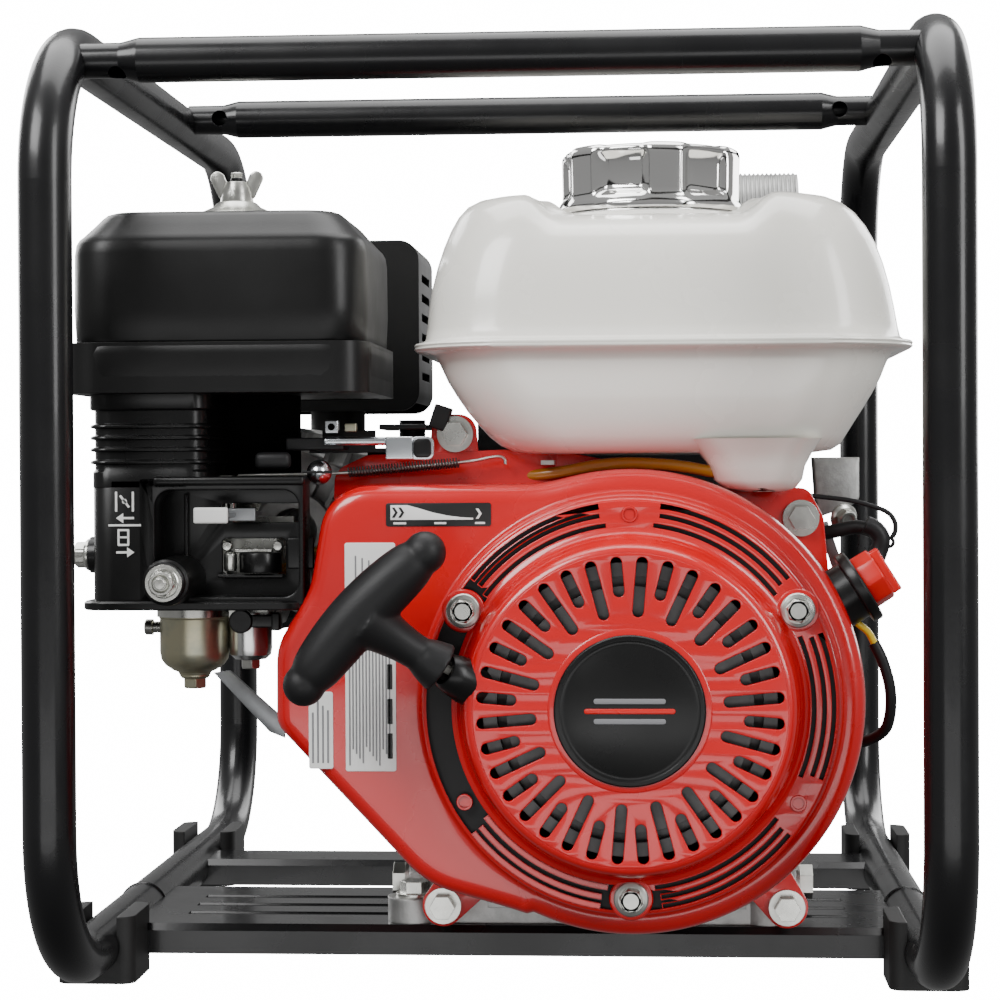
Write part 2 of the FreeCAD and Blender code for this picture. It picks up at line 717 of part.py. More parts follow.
def bearing(front, length):
    """A ball bearing drawn as one ring with a step on each face."""
    ring = rod(BEARING_R, length, (CX, front, CZ), "y")
    steps = [
        cut(rod(22, 1, (CX, y, CZ), "y"), rod(17, 1, (CX, y, CZ), "y"))
        for y in (front, front + length - 1)]
    return cut(ring, rod(MAIN_R + 0.05, length + 2, (CX, front - 1, CZ), "y"), *steps)


BEARINGS = [bearing(D["case_front"], Size(11, "11")), bearing(D["case_rear"], Size(14, "14"))]

# ---------------------------------------------------------------- flywheel side


def flywheel():
    """Cast flywheel with a deep rim, its magnet block and the fan's seat."""
    disc = rod(72, 8, (CX, -140, CZ), "y")
    rim = cut(rod(76, 24, (CX, -152, CZ), "y"), rod(58, 30, (CX, -153, CZ), "y"))
    hub = rod(20, 28, (CX, -158, CZ), "y")
    magnet = box((30, 18, 6), (CX - 15, -148, CZ + 73))
    return node("flywheel", cut(fuse(disc, rim, hub, magnet), rod(11.0, 60, (CX, -170, CZ), "y")))


flywheel()


def cooling_fan():
    """Moulded fan on the flywheel's front: a ring with curved blades."""
    ring = cut(rod(79, 3, (CX, -155.5, CZ), "y"), rod(36, 5, (CX, -156.5, CZ), "y"))
    blades = []
    for k in range(18):
        blade = box((30, 14, 2.4), (46, -169.5, -1.2))
        blades.append(place(group(blade), (CX, 0, CZ), Y_AXIS, 20.0 * k))
    return node("cooling_fan", fuse(ring, *blades))


cooling_fan()


def starter_cup():
    """Pressed cup with windows round its wall for the starter's pawls, and the flywheel nut in it."""
    cup = cut(rod(33, 19, (CX, -177, CZ), "y"), rod(31.2, 17.2, (CX, -178, CZ), "y"))
    windows = [place(group(box((20, 6, 6), (24, -172, -3))), (CX, 0, CZ), Y_AXIS,
                     60 * k + 30) for k in range(6)]
    nut = cut(prism(22.0, 11, (CX, -171, CZ), "y"), rod(7.9, 20, (CX, -175, CZ), "y"))
    return node("starter_cup", group(cut(cup, *windows, rod(8.0, 10, (CX, -163, CZ), "y")), nut))


starter_cup()


def ignition_coil():
    """Laminated core with two legs and its moulded winding, above the flywheel's rim."""
    top = CZ + 80.3
    core = fuse(box((48, 12, 8), (CX - 24, -146, top + 8)), box((9, 12, 9), (CX - 24, -146, top)),
                box((9, 12, 9), (CX + 15, -146, top)))
    winding = box((24, 20, 9.0), (CX - 12, -150, top + 1.5))
    return node("ignition_coil", fuse(core, winding))


ignition_coil()

# ---------------------------------------------------------------- shroud and recoil starter
FACE, FLANGE = D["face_y"], D["housing_flange_y"]
HOUSE_R = D["housing_radius"]


def shroud_outline(shrink, front, length):
    """The fan cover's outline, as a solid: a disc about the crank joined to a lobe over the barrel."""
    disc = rod(Size(101, "101") - shrink, length, (CX, front, CZ), "y")
    body = body_with("Lobe")
    s = number_of(shrink)
    points = [
        (CX, 222.6 - s), (-66 + s, 222.6 - s), (-76.5 + s, 212 - s), (-84.5 + s, 178), (-98 + s, 154),
        (-99.6 + s, 149), (-99.6 + s, 122 + s * 0.3), (-95 + s, 113 + s * 0.5),
        (-34 + s * 0.7, 48 + s * 0.7), (CX - 73, 56), (CX, CZ)]
    pad(body, polygon(body, "XZ_Plane", points, -front), length, backwards=True)
    return fuse(disc, body)


def between(radius, start, end, radius_end=None):
    """A bar or a taper from one point to another."""
    step = end - start
    turn = FreeCAD.Rotation(Z_AXIS, step)
    aim = (turn.Axis, math.degrees(turn.Angle))
    if radius_end is None:
        return rod(radius, step.Length, tuple(start), turn=aim)
    return cone(radius, radius_end, step.Length, tuple(start), turn=aim)


def ball(radius, at):
    thing = doc.addObject("Part::Sphere", "Ball")
    bind(thing, "Radius", radius)
    return place(thing, tuple(at))


SWITCH_AT = V(148.4, -150.0, 173.4)
SWITCH_UP = V(0.848, 0, 0.53)
FLANGE_BOLTS = [(-30.8, 31.7), (124.0, 31.8), (130.9, 206.6), (-24.2, 245.1)]


def fan_cover():
    """Pressed steel shroud: a shallow box open at the back, with a round mouth and four bolt tabs."""
    steel = D["shroud_steel"]
    front, back = D["shroud_front"], D["shroud_back"]
    outer = shroud_outline(Size(0, "0"), front, back - front)
    inner = shroud_outline(steel, front + steel, back - front)
    tabs, holes = [], []
    for x, z in FLANGE_BOLTS:
        tabs.append(rod(9.5, 2.5, (x, back - 2.5, z), "y"))
        reach = V(number_of(CX) - x, 0, number_of(CZ) - z)
        reach.normalize()
        angle = -math.degrees(math.atan2(reach.z, reach.x))
        tabs.append(place(group(box((22, 2.5, 18), (0, -2.5, -9))), (x, back, z), Y_AXIS, angle))
        holes.append(rod(3.4, 8, (x, back - 5, z), "y"))
    mouth = rod(Size(80, "80"), 12, (CX, front - 5, CZ), "y")
    switch = between(13.7, SWITCH_AT - SWITCH_UP * 16, SWITCH_AT + SWITCH_UP * 5)
    notch = box((60, 12, 30), (-13, back - 8, 234.5))
    return node("fan_cover", cut(fuse(cut(outer, inner), cut(fuse(*tabs), inner)), mouth, *holes, switch,
                                 notch))


fan_cover()


def spokes(count, step, start, inner, outer, width, front, depth):
    """Bars set round the crank axis, for cutting slots."""
    bars = []
    for k in range(count):
        bar = group(box((outer - inner, depth, width), (inner, 0, width * -0.5)))
        bars.append(place(bar, (CX, front, CZ), Y_AXIS, -(start + step * k)))
    return bars


HOUSING_BOLTS = (30.0, 150.0, 270.0)
REEL_R = D["reel_radius"]
GRIP_A, GRIP_B = V(-31.7, -214, 193.2), V(-79.0, -214, 141.5)
GRIP_MIDDLE = (GRIP_A + GRIP_B) * 0.5
STEM_END = V(-24.0, -205, 146.0)
ROPE_IN = V(-9.5, -193.5, 137.0)


def recoil_housing():
    """Pressed housing with a raised drum, radial slots, the rope's eyelet and the reel's centre post."""
    steel = D["shroud_steel"]
    drum = cone(74, 68.5, FLANGE - 1 - FACE, (CX, FLANGE - 1, CZ), "-y")
    brim = rod(HOUSE_R, 10, (CX, FLANGE, CZ), "y")
    hollow = [
        cone(72.5, 66.5, FLANGE + 1 - FACE, (CX, FLANGE + steel + 1, CZ), "-y"),
        rod(HOUSE_R - steel, 20, (CX, FLANGE + steel, CZ), "y")]
    slots = spokes(
        18, 20, 5, D["slot_inner_long"], D["slot_outer"], D["slot_width"], FACE - 10, Size(24, "24"))
    slots += spokes(
        18, 20, 15, D["slot_inner_short"], D["slot_outer"], D["slot_width"], FACE - 10, Size(24, "24"))
    post = rod(8, 22, (CX, FACE + 2, CZ), "y")
    holes = []
    for k in range(6):
        x, z = polar(D["housing_bolt_circle"], 30 + 60 * k)
        holes.append(rod(3.3 if k % 2 == 0 else 2.6, 20, (x, FLANGE - 10, z), "y"))
    throat = between(4.0, ROPE_IN, STEM_END)
    return node("recoil_housing", cut(fuse(cut(fuse(drum, brim), *hollow), post), *slots, *holes, throat))


recoil_housing()


def recoil_reel():
    """Grooved reel on the post, with its coiled spring and the pawl plate towards the cup."""
    disc = rod(62, 9, (CX, FACE + 6, CZ), "y")
    hub = rod(14, 15, (CX, FACE + 6, CZ), "y")
    hollow = cut(rod(56, 6.5, (CX, FACE + 5, CZ), "y"), rod(14, 6.5, (CX, FACE + 5, CZ), "y"))
    groove = cut(
        rod(63, 4.4, (CX, FACE + 9.4, CZ), "y"), rod(REEL_R + 26, 4.4, (CX, FACE + 9.4, CZ), "y"))
    plate = rod(26, 2.5, (CX, FACE + 19, CZ), "y")
    reel = cut(fuse(disc, hub, plate), hollow, groove, rod(8.06, 40, (CX, FACE, CZ), "y"))
    spring = cut(rod(52, 4.5, (CX, FACE + 5.6, CZ), "y"), rod(34, 6, (CX, FACE + 5, CZ), "y"))
    return node("recoil_reel", group(reel, spring))


recoil_reel()
node("starter_centre_disc", rod(31.6, 1.2, (CX, FACE, CZ), "-y"))

def recoil_grip():
    """Moulded T grip: a bar with round ends, a waisted stem and the flare that seats on the housing."""
    middle = GRIP_MIDDLE
    flare = STEM_END - (STEM_END - middle) * 0.28
    bar = [
        between(11.5, middle, GRIP_A, 9.0), between(11.5, middle, GRIP_B, 9.0), ball(9, GRIP_A),
        ball(9, GRIP_B)]
    stem = [between(10.5, middle, flare, 8.0), between(7.5, flare, STEM_END, 10.5)]
    return node(
        "recoil_grip", cut(fuse(*bar, *stem), between(2.6, middle, STEM_END + (STEM_END - middle))))


recoil_grip()
node(
    "recoil_rope",
    fuse(between(2.2, GRIP_MIDDLE, STEM_END), ball(2.2, STEM_END), between(2.2, STEM_END, ROPE_IN)))


def front_bolt(x, y, z, flats, washer, shank):
    """A hexagon flange bolt facing the front, as one solid."""
    return fuse(rod(washer, 1.8, (x, y, z), "-y"), prism(flats, 6.0, (x, y - 1.5, z), "-y"),
                rod(shank, 10, (x, y, z), "y"))


housing_spots = [polar(D["housing_bolt_circle"], angle) for angle in HOUSING_BOLTS]
FASTENERS += [front_bolt(x, FLANGE, z, 8.0, 7.2, 2.9) for x, z in housing_spots]
FASTENERS += [front_bolt(x, D["shroud_back"] - 2.5, z, 10.0, 8.2, 3.0) for x, z in FLANGE_BOLTS]

def switch_base():
    """Round switch body through the shroud's wall, with its bezel outside."""
    back, face = SWITCH_AT - SWITCH_UP * 12, SWITCH_AT + SWITCH_UP * 5
    return node(
        "engine_switch_base", fuse(between(13.5, back, face), between(16.5, face, face + SWITCH_UP * 4)))


switch_base()
knob_base = SWITCH_AT + SWITCH_UP * 9.3
knob_turn = FreeCAD.Rotation(Z_AXIS, SWITCH_UP)


def switch_knob():
    """Turning knob: a round skirt with a thumb bar across it."""
    skirt = between(13.0, knob_base, knob_base + SWITCH_UP * 6, 11.5)
    bar = group(box((8, 25, 9), (-4, -12.5, 5)))
    place(bar, tuple(knob_base), knob_turn.Axis, math.degrees(knob_turn.Angle))
    return node("engine_switch_knob", fuse(skirt, bar))


switch_knob()

# ---------------------------------------------------------------- fuel tank
SEAM = D["tank_seam"]


def tank_ring(body, left, right, front, back, radius, level):
    return rounded(body, "XY_Plane", (left, front), (right, back), radius, level)


def tank_loft(body, levels, inset, remove):
    """Lofts between rounded rectangles, drawn in by a wall's thickness."""
    rings = [tank_ring(body, left + inset, right - inset, front + inset, back - inset, radius, level)
             for left, right, front, back, radius, level in levels]
    loft(body, rings, remove)


LEFT, RIGHT, FRONT, BACK = D["tank_left"], D["tank_right"], D["tank_front"], D["tank_back"]


def tank_flange(low, high):
    body = body_with("Seam")
    reach = D["tank_flange"]
    ring = tank_ring(body, LEFT - reach, RIGHT + reach, FRONT - reach, BACK + reach, 42, low)
    pad(body, ring, high - low)
    return body


def tank_upper():
    """Upper half of the tank: bulging shell, filler neck and the upper lip of the seam."""
    top, steel = D["tank_top"], D["tank_steel"]
    body = body_with("Upper")
    outer = [
        (LEFT, RIGHT, FRONT, BACK, 36, SEAM), (LEFT + 3, RIGHT - 7, FRONT + 6, BACK - 6, 34, top - 20),
        (LEFT + 13, RIGHT - 20, FRONT + 12, BACK - 12, 30, top - 6),
        (LEFT + 22, RIGHT - 30, FRONT + 22, BACK - 22, 24, top)]
    tank_loft(body, outer, Size(0, "0"), False)
    inner = [
        (a, b, c, d, r, level - (0 if k == 0 else steel))
        for k, (a, b, c, d, r, level) in enumerate(outer)]
    shell = body_with("UpperRoom")
    tank_loft(shell, inner, steel, False)
    neck = fuse(
        rod(31, 14, (D["cap_x"], D["cap_y"], top - 4)), rod(44, 3.0, (D["cap_x"], D["cap_y"], top - 2)))
    bore = rod(28, 40, (D["cap_x"], D["cap_y"], top - 20))
    flange = tank_flange(SEAM, SEAM + 1.5)
    return node("fuel_tank_upper", cut(fuse(body, neck, flange), shell, bore))


STAY_SPOTS = [(14, -60), (92, -48)]


def tank_lower():
    """Lower half of the tank, stepped in below the seam, with a sump and its outlet."""
    steel = D["tank_steel"]
    low = SEAM - 47
    levels = [(LEFT + 29, RIGHT - 36, FRONT + 14, BACK - 14, 30, low),
              (LEFT + 25, RIGHT - 18, FRONT + 8, BACK - 8, 31, low + 14),
              (LEFT + 15, RIGHT - 13, FRONT + 5, BACK - 5, 32, low + 22),
              (LEFT + 4, RIGHT - 2, FRONT + 1, BACK - 1, 34, SEAM)]
    body, room = body_with("Lower"), body_with("LowerRoom")
    tank_loft(body, levels, Size(0, "0"), False)
    inner = [
        (a, b, c, d, r, level + (steel if k == 0 else 0))
        for k, (a, b, c, d, r, level) in enumerate(levels)]
    tank_loft(room, inner, steel, False)
    sump = [rod(16, 16, (112, -96, low - 14)), rod(14.5, 40, (112, -96, low - 12.5))]
    spout = [rod(4, 16, (112, -104, low - 8), "-y"), rod(2.5, 22, (112, -99, low - 8), "-y")]
    legs = [box((26, 26, 5.5), (x, y, low - 5.5)) for x, y in STAY_SPOTS]
    outer = fuse(body, sump[0], spout[0], tank_flange(SEAM - 1.5, SEAM), *legs)
    return node("fuel_tank_lower", cut(outer, room, sump[1], spout[1]))


tank_upper()
tank_lower()


def fuel_cap():
    """Plated cap with six finger scallops, hollow under its skirt, with the vent's plug below."""
    x, y, base = D["cap_x"], D["cap_y"], D["tank_top"] + 2.2
    outer = rod(D["cap_radius"] - 1, 24, (x, y, base))
    scallops = []
    for k in range(6):
        angle = math.radians(60 * k + 30)
        scallops.append(rod(17, 20, (x + 56 * math.cos(angle), y + 56 * math.sin(angle), base + 4)))
    room = [rod(36, 17, (x, y, base - 1))]
    plug = rod(27.5, 12, (x, y, base + 6))
    return node("fuel_cap", fuse(cut(outer, *scallops, *room), plug))


fuel_cap()


def tank_stays():
    """Two stays that carry the tank on the crankcase."""
    low = SEAM - 47 - 5.5
    drum = rod(D["case_radius"], CASE_LENGTH, (CX, D["case_front"], CZ), "y")
    stays = [
        fuse(box((26, 26, 3), (x, y, low - 3)), box((6, 26, 90), (x + 10, y, low - 93)))
        for x, y in STAY_SPOTS]
    barrel = rod(D["barrel_radius"] + 0.1, D["deck_height"] - 40, bore_point(40), turn=TILT_TURN)
    return [cut(stay, drum, barrel) for stay in stays]


# ---------------------------------------------------------------- air cleaner
STUD_X, STUD_Y = -123.6, -120.0
CLEAN_LEFT, CLEAN_RIGHT = D["cleaner_left"], D["cleaner_right"]
CLEAN_FRONT, CLEAN_BACK = D["cleaner_front"], D["cleaner_back"]


def cleaner_block(body, grow, low, high, radius=14.0):
    ring = rounded(
        body, "XY_Plane", (CLEAN_LEFT - grow, CLEAN_FRONT - grow),
        (CLEAN_RIGHT + grow, CLEAN_BACK + grow), radius, low)
    pad(body, ring, high - low)


def air_cleaner_case():
    """Lower tray of the air cleaner with a raised lip round it and the centre stud."""
    low, seam = D["cleaner_low"], D["cleaner_seam"]
    body, room = body_with("Tray"), body_with("TrayRoom")
    cleaner_block(body, 2.0, low, seam)
    cleaner_block(room, -3.0, low + 4, seam + 4)
    stud = fuse(rod(2.9, 98, (STUD_X, STUD_Y, low + 1)), rod(7, 6, (STUD_X, STUD_Y, low + 2)))
    mouth = rod(22, 12, (-140, -128, low - 4))
    return node("air_cleaner_case", fuse(cut(body, room, mouth), stud))


def air_cleaner_cover():
    """Deep moulded cover, open below, with a chamfered top and lower shoulders."""
    seam, top, wall = D["cleaner_seam"] + 0.3, D["cleaner_top"], 2.5
    body = body_with("Cover")
    levels = [(0, seam, 14), (0.5, top - 13, 14), (13, top, 12)]
    sections = []
    for g, z, r in levels:
        low, high = (CLEAN_LEFT + g, CLEAN_FRONT + g), (CLEAN_RIGHT - g, CLEAN_BACK - g)
        sections.append(rounded(body, "XY_Plane", low, high, r, z))
    loft(body, sections)
    room = []
    for k, (g, z, r) in enumerate(levels):
        low = (CLEAN_LEFT + g + wall, CLEAN_FRONT + g + wall)
        high = (CLEAN_RIGHT - g - wall, CLEAN_BACK - g - wall)
        room.append(rounded(body, "XY_Plane", low, high, r - 2, z - (wall if k else 1.0)))
    loft(body, room, remove=True)
    boss = fuse(rod(24, 3, (STUD_X, STUD_Y, top)), rod(12, 8, (STUD_X, STUD_Y, top - 8)))
    return node("air_cleaner_cover", cut(fuse(body, boss), rod(3.3, 40, (STUD_X, STUD_Y, top - 20))))


def filter_element():
    body = body_with("Element")
    pad(body, rounded(body, "XY_Plane", (-164, -158), (-84, -82), 12, Size(267.5, "267.5")), 52)
    room = body_with("ElementRoom")
    pad(room, rounded(room, "XY_Plane", (-148, -142), (-100, -98), 8, Size(266, "266")), 56)
    return node("filter_element", cut(body, room))


def wing_nut():
    """Dished washer and wing nut that hold the cover down on its stud."""
    base = D["cleaner_top"] + 3.2
    dish = cone(25, 9, 4.5, (STUD_X, STUD_Y, base))
    hub = rod(6.5, 9, (STUD_X, STUD_Y, base + 3))
    wings = [
        box((7, 4, 12), (STUD_X + 3.5, STUD_Y - 2, base + 7)),
        box((7, 4, 12), (STUD_X - 10.5, STUD_Y - 2, base + 7))]
    return node("wing_nut", cut(fuse(dish, hub, *wings), rod(2.95, 40, (STUD_X, STUD_Y, base - 5))))


air_cleaner_case()
air_cleaner_cover()
filter_element()
wing_nut()

ELBOW_L, ELBOW_R_X = D["elbow_x"] - 39, D["elbow_x"] + 50


def elbow():
    """Moulded duct from the air cleaner down to the carburettor, with ribs and an open window."""
    low, top = D["elbow_low"], D["cleaner_low"]
    body = body_with("Duct")
    pad(body, rounded(body, "XY_Plane", (ELBOW_L, -168), (ELBOW_R_X, -136), 14, low), top - low)
    upper = body_with("DuctTop")
    pad(upper, rounded(upper, "XY_Plane", (ELBOW_L, -168), (ELBOW_R_X, -101), 14, top - 30), 30)
    flange = body_with("DuctFlange")
    pad(flange, rounded(flange, "XY_Plane", (ELBOW_L - 4, -171), (ELBOW_R_X + 1, -134), 12, low), 4.0)
    ribs = []
    for k in range(5):
        rib = body_with("Rib")
        pad(
            rib,
            rounded(rib, "XY_Plane", (ELBOW_L - 1.5, -169.5), (-132, -136), 14, top - (27 - k * 5.6)),
            2.2)
        ribs.append(rib)
    room = body_with("DuctRoom")
    pad(room, rounded(room, "XY_Plane", (-177, -164), (-136, -140), 10, low + 4), top - low)
    upper_room = box((80, 56, 40), (-177, -162, top - 26))
    window = box((52, 60, 46), (-136.5, -180, 178))
    boss = rod(9.5, 20, (-144.5, -168, 181), "-y")
    hole = rod(3.2, 72, (-144.5, -192, 181), "y")
    side = rod(7, 4, (ELBOW_L, -150, 192), "-x")
    inlet = rod(12, 20, (D["carb_x"] - 8, -150, D["carb_z"] + 8), "y")
    return node("air_cleaner_elbow", cut(fuse(body, upper, flange, *ribs, boss, side), room, upper_room,
                                         window, hole,
                                         inlet))


elbow()


def elbow_nuts():
    front = fuse(prism(10, 6, (-144.5, -188, 181), "-y"), rod(8, 1.5, (-144.5, -188, 181), "-y"),
                 rod(2.9, 74, (-144.5, -198, 181), "y"))
    side = fuse(prism(10, 6, (ELBOW_L - 4, -150, 192), "-x"), rod(2.9, 9, (ELBOW_L - 4, -150, 192), "-x"))
    return [front, side]


FASTENERS += elbow_nuts()
node("bolts_nuts_and_plugs", group(*FASTENERS))

# ---------------------------------------------------------------- carburettor
BX, BZ = D["carb_x"], D["carb_z"]
CHOKE_Y, THROTTLE_Y = -126.0, -116.0


def carburettor():
    """Die-cast carburettor: throat, mounting faces and the ring that seals the float bowl."""
    throat = rod(15, 24, (BX, -134, BZ), "y")
    block = box((42, 20, 26), (BX - 24, -132, BZ - 22))
    flange = [box((60, 5, 26), (BX - 30, -134, BZ - 14)), box((60, 4, 26), (BX - 30, -114, BZ - 14))]
    seat = rod(17, 4.9, (-144, -122, BZ - 27))
    cup_mount = box((17.8, 18, 14), (-126.8, -130, BZ - 30))
    bores = [rod(10, 40, (BX, -140, BZ), "y"), rod(2.95, 30, (-144.5, -136, 181), "y"),
             rod(2.55, 60, (BX + 6, THROTTLE_Y, BZ - 15.2)), rod(3.05, 26, (BX + 19, CHOKE_Y, BZ - 5))]
    spacer = box((66, 3.8, 34), (BX - 32, -110, BZ - 16))
    return node("carburettor_body", cut(fuse(throat, block, *flange, seat, cup_mount, spacer), *bores))


def float_bowl():
    """Pressed float bowl with its bolt and drain screw, and the sediment cup beside it."""
    bowl = fuse(rod(17, 29, (-144, -122, 134)), cone(14, 17, 5, (-144, -122, 129.2)))
    room = rod(15.5, 27, (-144, -122, 137))
    bolt = fuse(prism(10, 5, (-144, -122, 129.2), "-z"), rod(3, 30, (-144, -122, 126)))
    drain = fuse(rod(4, 12, (-155, -128, 146), "-x"), rod(5.5, 5, (-166, -128, 146), "-x"))
    cup = fuse(rod(10.5, 18, (-119, -119, 142)), cone(8, 10.5, 3, (-119, -119, 139.2)),
               prism(10, 4, (-119, -119, 139.2), "-z"))
    return node("carburettor_bowls", group(fuse(cut(bowl, room), bolt, drain), cup))


def choke_lever():
    """Choke shaft with a flat lever whose folded tab shows in the duct's window."""
    at = (BX + 19, CHOKE_Y)
    shaft = rod(3.0, 36, (*at, BZ - 3))
    arm = box((7, 46, 2), (BX + 15.5, -172, BZ + 16))
    tab = box((17, 3, 9), (BX + 3, -174, BZ + 14))
    return node("choke_lever", fuse(shaft, arm, tab, box((14, 4, 2), (BX + 6, -172, BZ + 16))))


def fuel_lever():
    """Fuel valve lever on the front of the valve, with a finger tab."""
    hub = rod(5.5, 5, (-120, -130.4, 161.5), "-y")
    arm = box((18, 3, 6), (-122, -135.2, 158.5))
    return node("fuel_valve_lever", fuse(hub, arm, box((4, 8, 8), (-106, -140, 157.5))))


def throttle_shaft():
    """Throttle spindle through the carburettor with its arm on top."""
    return node(
        "throttle_shaft",
        fuse(
            rod(2.5, 52, (BX + 6, THROTTLE_Y, BZ - 15)), rod(5, 3, (BX + 6, THROTTLE_Y, BZ + 34)),
            box((7, 17, 2), (BX + 2.5, THROTTLE_Y - 17.5, BZ + 35))))


carburettor()
float_bowl()
choke_lever()
fuel_lever()
throttle_shaft()

# ---------------------------------------------------------------- exhaust


def muffler():
    """Pressed muffler can with its pipe from the head."""
    body = body_with("Can")
    pad(body, rounded(body, "XZ_Plane", (-158, 266), (-66, 336), 16, Size(-70, "-70")), 56)
    pipe = [rod(14, 33, (EXHAUST_X, -7, EXHAUST_Z), "y"), rod(14, 72, (EXHAUST_X, 26, EXHAUST_Z)),
            ball(14, (number_of(EXHAUST_X), 26, number_of(EXHAUST_Z)))]
    flange = box((50, 4, 36), (EXHAUST_X - 25, -7, EXHAUST_Z - 18))
    tail = rod(8, 16, (-158, 44, 320), "-x")
    return node("muffler", fuse(cut(body, rod(6, 30, (-170, 44, 320), "x")), *pipe, flange))


def muffler_guard():
    """Louvred guard round the muffler, open below."""
    body, room = body_with("Guard"), body_with("GuardRoom")
    pad(body, rounded(body, "XZ_Plane", (-168, 259), (-53, 345), 10, Size(-78, "-78")), 74)
    pad(room, rounded(room, "XZ_Plane", (-166, 250), (-55, 343), 8, Size(-76, "-76")), 70)
    slots = [box((60, 8, 4), (-150, 72, 275 + 10 * k)) for k in range(6)]
    slots += [box((8, 40, 4), (-60, 20, 275 + 10 * k)) for k in range(6)]
    return node("muffler_guard", cut(body, room, *slots))


muffler()
muffler_guard()

# ---------------------------------------------------------------- controls


LEVER_AT = (-46.0, -100.0)
ROD_Y, ROD_Z = -131.0, 229.0


def control_bracket():
    """Folded plate beside the cylinder that carries the throttle lever and the spring post."""
    plate = fuse(box((54, 27, 2), (-90, -128, 237)), box((20, 20, 2), (-56, -110, 237)))
    leg = box((30, 2, 26), (-66, -108, 212))
    lip = box((24, 2, 10), (-84, -128, 237))
    post = rod(2.5, 8, (-82, -112, 238))
    pillar = rod(6, 14, (*LEVER_AT, 238))
    return cut(fuse(plate, leg, lip, post, pillar), rod(3.05, 30, (*LEVER_AT, 233)))


node("engine_stays", group(control_bracket(), *tank_stays()))


def throttle_lever():
    """Lever over the shroud's upper bolt, with its tab folded down in front."""
    x, y = LEVER_AT
    pin = rod(3.0, 22, (x, y, 234))
    plate = fuse(rod(7, 1.8, (x, y, 254.6)), box((8, 50, 1.8), (x, y - 50, 254.6)))
    fold = box((6, 2, 22), (x + 4, y - 50, 234.4))
    tab = box((19, 2, 9.5), (x - 2, y - 50, 234))
    return node("throttle_lever", fuse(pin, plate, fold, tab))


def governor():
    """Governor arm on its shaft, and the straight rod and light spring from it to the throttle."""
    x, y = GOVERNOR_AT
    arm = fuse(
        rod(3, 60, (x, y, 173)), box((6, y - ROD_Y + 4, 2), (x - 3, ROD_Y - 4, 231)),
        rod(6, 3, (x, y, 231)))
    node("governor_arm", arm)
    bar = rod(1.1, 139, (-122, ROD_Y, ROD_Z), "x")
    spring = cut(rod(2.0, 44, (-84, ROD_Y, ROD_Z), "x"), rod(1.3, 46, (-85, ROD_Y, ROD_Z), "x"))
    return node("governor_rod", group(bar, spring))


throttle_lever()
governor()


def tube_along(points, radius):
    """A tube of straight runs joined by arcs as large as the runs beside them allow."""
    runs = [b - a for a, b in zip(points, points[1:])]
    edges, start = [], points[0]
    for i in range(1, len(points) - 1):
        before, after = runs[i - 1], runs[i]
        shorter = min(before.Length, after.Length)
        reach = 0.45 * shorter
        first = points[i] - before * (reach / before.Length)
        last = points[i] + after * (reach / after.Length)
        turn = before.getAngle(after)
        bend = reach / math.tan(turn / 2)
        middle = first + last - points[i] * 2
        middle.normalize()
        centre = points[i] + middle * math.sqrt(bend ** 2 + reach ** 2)
        edges.append(Part.LineSegment(start, first).toShape())
        edges.append(Part.Arc(first, centre - middle * bend, last).toShape())
        start = last
    edges.append(Part.LineSegment(start, points[-1]).toShape())
    spine = Part.Wire(edges)
    ring = Part.Wire(Part.makeCircle(radius, points[0], runs[0]))
    tube = doc.addObject("Part::Feature", "Tube")
    tube.Shape = spine.makePipeShell([ring], True, False)
    return tube


SWITCH_LEAD = [V(155.5, -152, 160), V(162, -152, 151), V(167.5, -149, 138), V(168.5, -143, 124),
               V(164.5, -135, 112), V(158.5, -125, 103.5), V(148, -114, 100), V(135, -106, 100)]
FUEL_HOSE = [
    V(112, -120.2, 228), V(110, -131, 226.5), V(98, -138, 226.2), V(76, -137, 230.6),
    V(48, -134.5, 232.2), V(18, -126, 226.8), V(-2, -115.5, 225.6), V(-24, -110, 224),
    V(-46, -112, 217.5), V(-68, -116, 206), V(-87, -120.5, 192), V(-104, -122.5, 183), V(-116, -122, 181)]
node("switch_lead", tube_along(SWITCH_LEAD, 1.6))
node("fuel_hose", tube_along(FUEL_HOSE, 2.6))

# ---------------------------------------------------------------- pump
PX, PF, PB = D["pump_x"], D["pump_front"], D["pump_back"]
PIPE_R, PIPE_BORE = D["port_thread"], D["port_bore"]


def pump_adapter():
    """Ring between the engine's cover and the pump, with a flange for each."""
    front = D["pump_front"] - 25
    outer = [rod(58, 10, (PX, front, CZ), "y"), rod(50, 25, (PX, front, CZ), "y"),
             rod(84, 9, (PX, front + 16, CZ), "y")]
    bores = [rod(42, 30, (PX, front - 1, CZ), "y")]
    bores += [rod(4, 40, (PX + 38 * math.cos(a), front - 2, CZ + 38 * math.sin(a)),
                  "y") for a in COVER_ANGLES]
    return node("pump_adapter", cut(fuse(*outer), *bores))


CASING_R = 82.0


def casing_block(name, grow, front, back):
    """The casing's outline as a solid: a drum about the shaft with a square chamber above it."""
    body = body_with(name)
    low, high = (PX - CASING_R - grow, CZ - 20), (PX + CASING_R + grow, CZ + 160 + grow)
    ring = rounded(body, "XZ_Plane", low, high, 22, -front)
    pad(body, ring, back - front, backwards=True)
    return fuse(
        body, rod(Size(CASING_R + grow, f"{CASING_R + grow}"), back - front, (PX, front, CZ), "y"))


